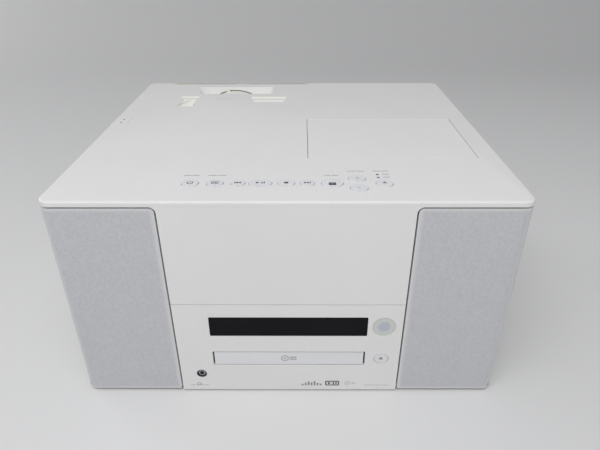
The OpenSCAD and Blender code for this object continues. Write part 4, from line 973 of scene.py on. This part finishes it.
def front_marks():
    """Plain signs low on the front panel, on the eject button and on the tray."""
    front_sign("headphone_sign", headphone_sign(), "lower_case", "ink_grey", HEADPHONE_SIGN_AT)
    front_sign("level_sign", bars_sign(), "lower_case", "ink_grey", LEVEL_SIGN_AT)
    front_sign("screen_sign", screen_sign(), "lower_case", "ink_dark", SCREEN_SIGN_AT)
    front_sign("disc_sign", disc_sign(2.3) + two_dashes(3.6, 0.6, 5.2, 0.7), "lower_case",
               "ink_faint", DISC_SIGN_AT)
    front_sign("fine_line", dashes(*FINE_LINE, FINE_LINE_WIDTH, 3), "lower_case", "ink_faint",
               FINE_LINE_AT)
    front_sign("eject_sign", eject_sign(), "eject_button", "ink_dark", EJECT_SIGN_AT)
    front_sign("tray_disc_sign", disc_sign(3.0) + two_dashes(5.6, 0.9, 6.6, 1.1), "tray_front",
               "ink_grey", TRAY_SIGN_AT, box_mm("tray_front")[0].y)


# ---------------------------------------------------------------- small parts in the sockets

# The metal ring in the headphone socket: its radii, its length and how far inside it lies
CONTACT_RADII = (2.65, 1.82)
CONTACT_LENGTH = 1.4
CONTACT_DEPTH = 1.6

# The collars round the picture sockets, each with its place from the socket panel's middle
COLLAR_RADII = (5.6, 4.3)
COLLAR_DEEP = 0.5
COLLAR_INSET = 0.4
COLLARS = [((-28, 8), "socket_green"), ((-14, 8), "socket_blue"), ((0, 8), "socket_red"),
           ((-28, -7), "socket_yellow"), ((-14, -7), "socket_white"), ((0, -7), "socket_red")]

# The plate under the case: its size, and its middle in X and Y
PLATE_SIZE = (62, 34)
PLATE_CORNER = 2
PLATE_DEEP = 0.3
PLATE_AT = (-60, 20)


def headphone_contact():
    """Sprung metal ring inside the mouth of the headphone socket."""
    x, _, z = middle_mm("headphone_jack")
    piece = ring(*CONTACT_RADII, sides=32, deep=CONTACT_LENGTH)
    printed("headphone_contact", [piece], "headphone_jack", "zinc_steel",
            (x, FRONT_MM + CONTACT_DEPTH, z), "front")


def back_sockets():
    """Collars round the picture sockets: one is modelled, and the others are its copies."""
    x, _, z = middle_mm("video_sockets")
    ((first_x, first_z), colour), *others = COLLARS
    model = printed("phono_collar_0", [ring(*COLLAR_RADII, sides=32, deep=COLLAR_DEEP)],
                    "video_sockets", colour,
                    (x + first_x, BACK_MM - COLLAR_INSET, z + first_z), "back")
    for i, ((dx, dz), colour) in enumerate(others):
        copy = another(model, f"phono_collar_{i + 1}", (dx - first_x, 0, dz - first_z))
        finished(copy, "video_sockets", colour)


def rating_plate():
    """Blank plate under the case."""
    plate = bar(*PLATE_SIZE, corner=PLATE_CORNER, deep=PLATE_DEEP)
    printed("blank_plate", [plate], "lower_case", "plate_silver", (*PLATE_AT, UNDERSIDE_MM),
            "under")


def all_pieces():
    """Every small part, and the rounded edges of the CAD nodes."""
    button_signs()
    top_marks()
    front_marks()
    headphone_contact()
    back_sockets()
    rating_plate()
    for name in nodes:
        if name.endswith("_button"):
            rounded_edges(name, *BUTTON_ROUNDING)
    for name, rounding in ROUNDINGS.items():
        rounded_edges(name, *rounding)


# ---------------------------------------------------------------- stage

# The sheet under and behind the projector, in metres
SHEET_HALF = 4.0
SHEET_BACK = 2.2
SHEET_BEND = 1.2
SHEET_RISE = 3.0
BEND_SEGMENTS = 16
SAME_PLACE = 0.001
SHEET_TONE = (0.54, 0.54, 0.54)
SHEET_DARK = (0.52, 0.52, 0.525)
SHEET_LIGHT = (0.56, 0.56, 0.56)
SHEET_SEEN = (0.67, 0.67, 0.67)

WORLD_COLOUR = (0.97, 0.98, 1.0, 1)
WORLD_STRENGTH = 0.40

# Area lamps: where each stands, what it points at, its size in metres, watts and colour
LAMPS = {
    "overhead_softbox": ((-0.15, -0.75, 1.35), (0, 0, 0.15), (1.4, 1.0), 13, (0.985, 0.99, 1.0)),
    "front_fill": ((0.0, -1.7, 0.9), (0, 0, 0.2), (1.8, 1.0), 6.3, (1.0, 0.97, 0.945)),
    "back_fill": ((-2.4, 1.55, 1.0), (0, 0, 0.1), (1.4, 1.2), 16, (1.0, 1.0, 1.0)),
}


def sheet_finish():
    """Pale paper that looks lighter to the camera than the light it throws back."""
    finish = Finish("floor_pale", SHEET_TONE, 0.7)
    tone = finish.mix(finish.noise(400, detail=2), SHEET_DARK, SHEET_LIGHT)
    seen = finish.value(finish.node("ShaderNodeLightPath"), "Is Camera Ray")
    finish.feed("Base Color", finish.mix(seen, tone, SHEET_SEEN))
    return finish


def back_edge(a, b):
    """Whether an edge between two points lies on the floor at the very back."""
    return min(a.y, b.y) > SHEET_BACK - SAME_PLACE and max(a.z, b.z) < SAME_PLACE


def floor_and_backdrop():
    """A pale sheet that runs along the floor and curves up behind."""
    bpy.ops.mesh.primitive_plane_add(size=1, location=(0, (SHEET_BACK - SHEET_HALF) / 2, 0))
    sheet = bpy.context.object
    sheet.name = "floor_sheet"
    sheet.scale = (2 * SHEET_HALF, SHEET_BACK + SHEET_HALF, 1)
    settle(sheet)
    with shaping(sheet, "EDGE"):
        pick_edges(sheet, back_edge)
        bpy.ops.mesh.extrude_region_move(TRANSFORM_OT_translate={"value": (0, 0, SHEET_RISE)})
    with shaping(sheet, "EDGE"):
        pick_edges(sheet, back_edge)
        bpy.ops.mesh.bevel(offset=SHEET_BEND, segments=BEND_SEGMENTS, affect="EDGES")
    bpy.ops.object.shade_smooth()
    paint(sheet, sheet_finish())


def soft_lamp(name, place, target, size, watts, colour):
    """A rectangular lamp that points at its target."""
    bpy.ops.object.light_add(type="AREA", location=place)
    lamp = bpy.context.object
    lamp.name = name
    lamp.data.shape = "RECTANGLE"
    lamp.data.size, lamp.data.size_y = size
    lamp.data.energy = watts
    lamp.data.color = colour
    aim = Vector(target) - Vector(place)
    lamp.rotation_euler = aim.to_track_quat("-Z", "Y").to_euler()


def studio_light():
    """An even, soft light from all round, with three large lamps."""
    world = bpy.data.worlds.new("studio")
    bpy.context.scene.world = world
    world.use_nodes = True
    ground = world.node_tree.nodes["Background"]
    ground.inputs["Color"].default_value = WORLD_COLOUR
    ground.inputs["Strength"].default_value = WORLD_STRENGTH
    for name, settings in LAMPS.items():
        soft_lamp(name, *settings)


# ---------------------------------------------------------------- the whole

# CAD nodes whose finish differs from the rest of their material slot
OWN_FINISHES = {"tray_front": "tray_white", "disc_tray": "disc_bed",
                "status_lights": "indicator_lens", "focus_ring": "ring_white"}

bpy.ops.object.select_all(action="DESELECT")
bpy.context.scene.view_settings.view_transform = "Standard"
photograph_camera()
floor_and_backdrop()
studio_light()
finishes = all_finishes()
slots = {part["node"]: part["material_slot"] for part in frame["record"]["subparts"]}
for name, part in nodes.items():
    paint(part, finishes[OWN_FINISHES.get(name, slots[name])])
all_pieces()
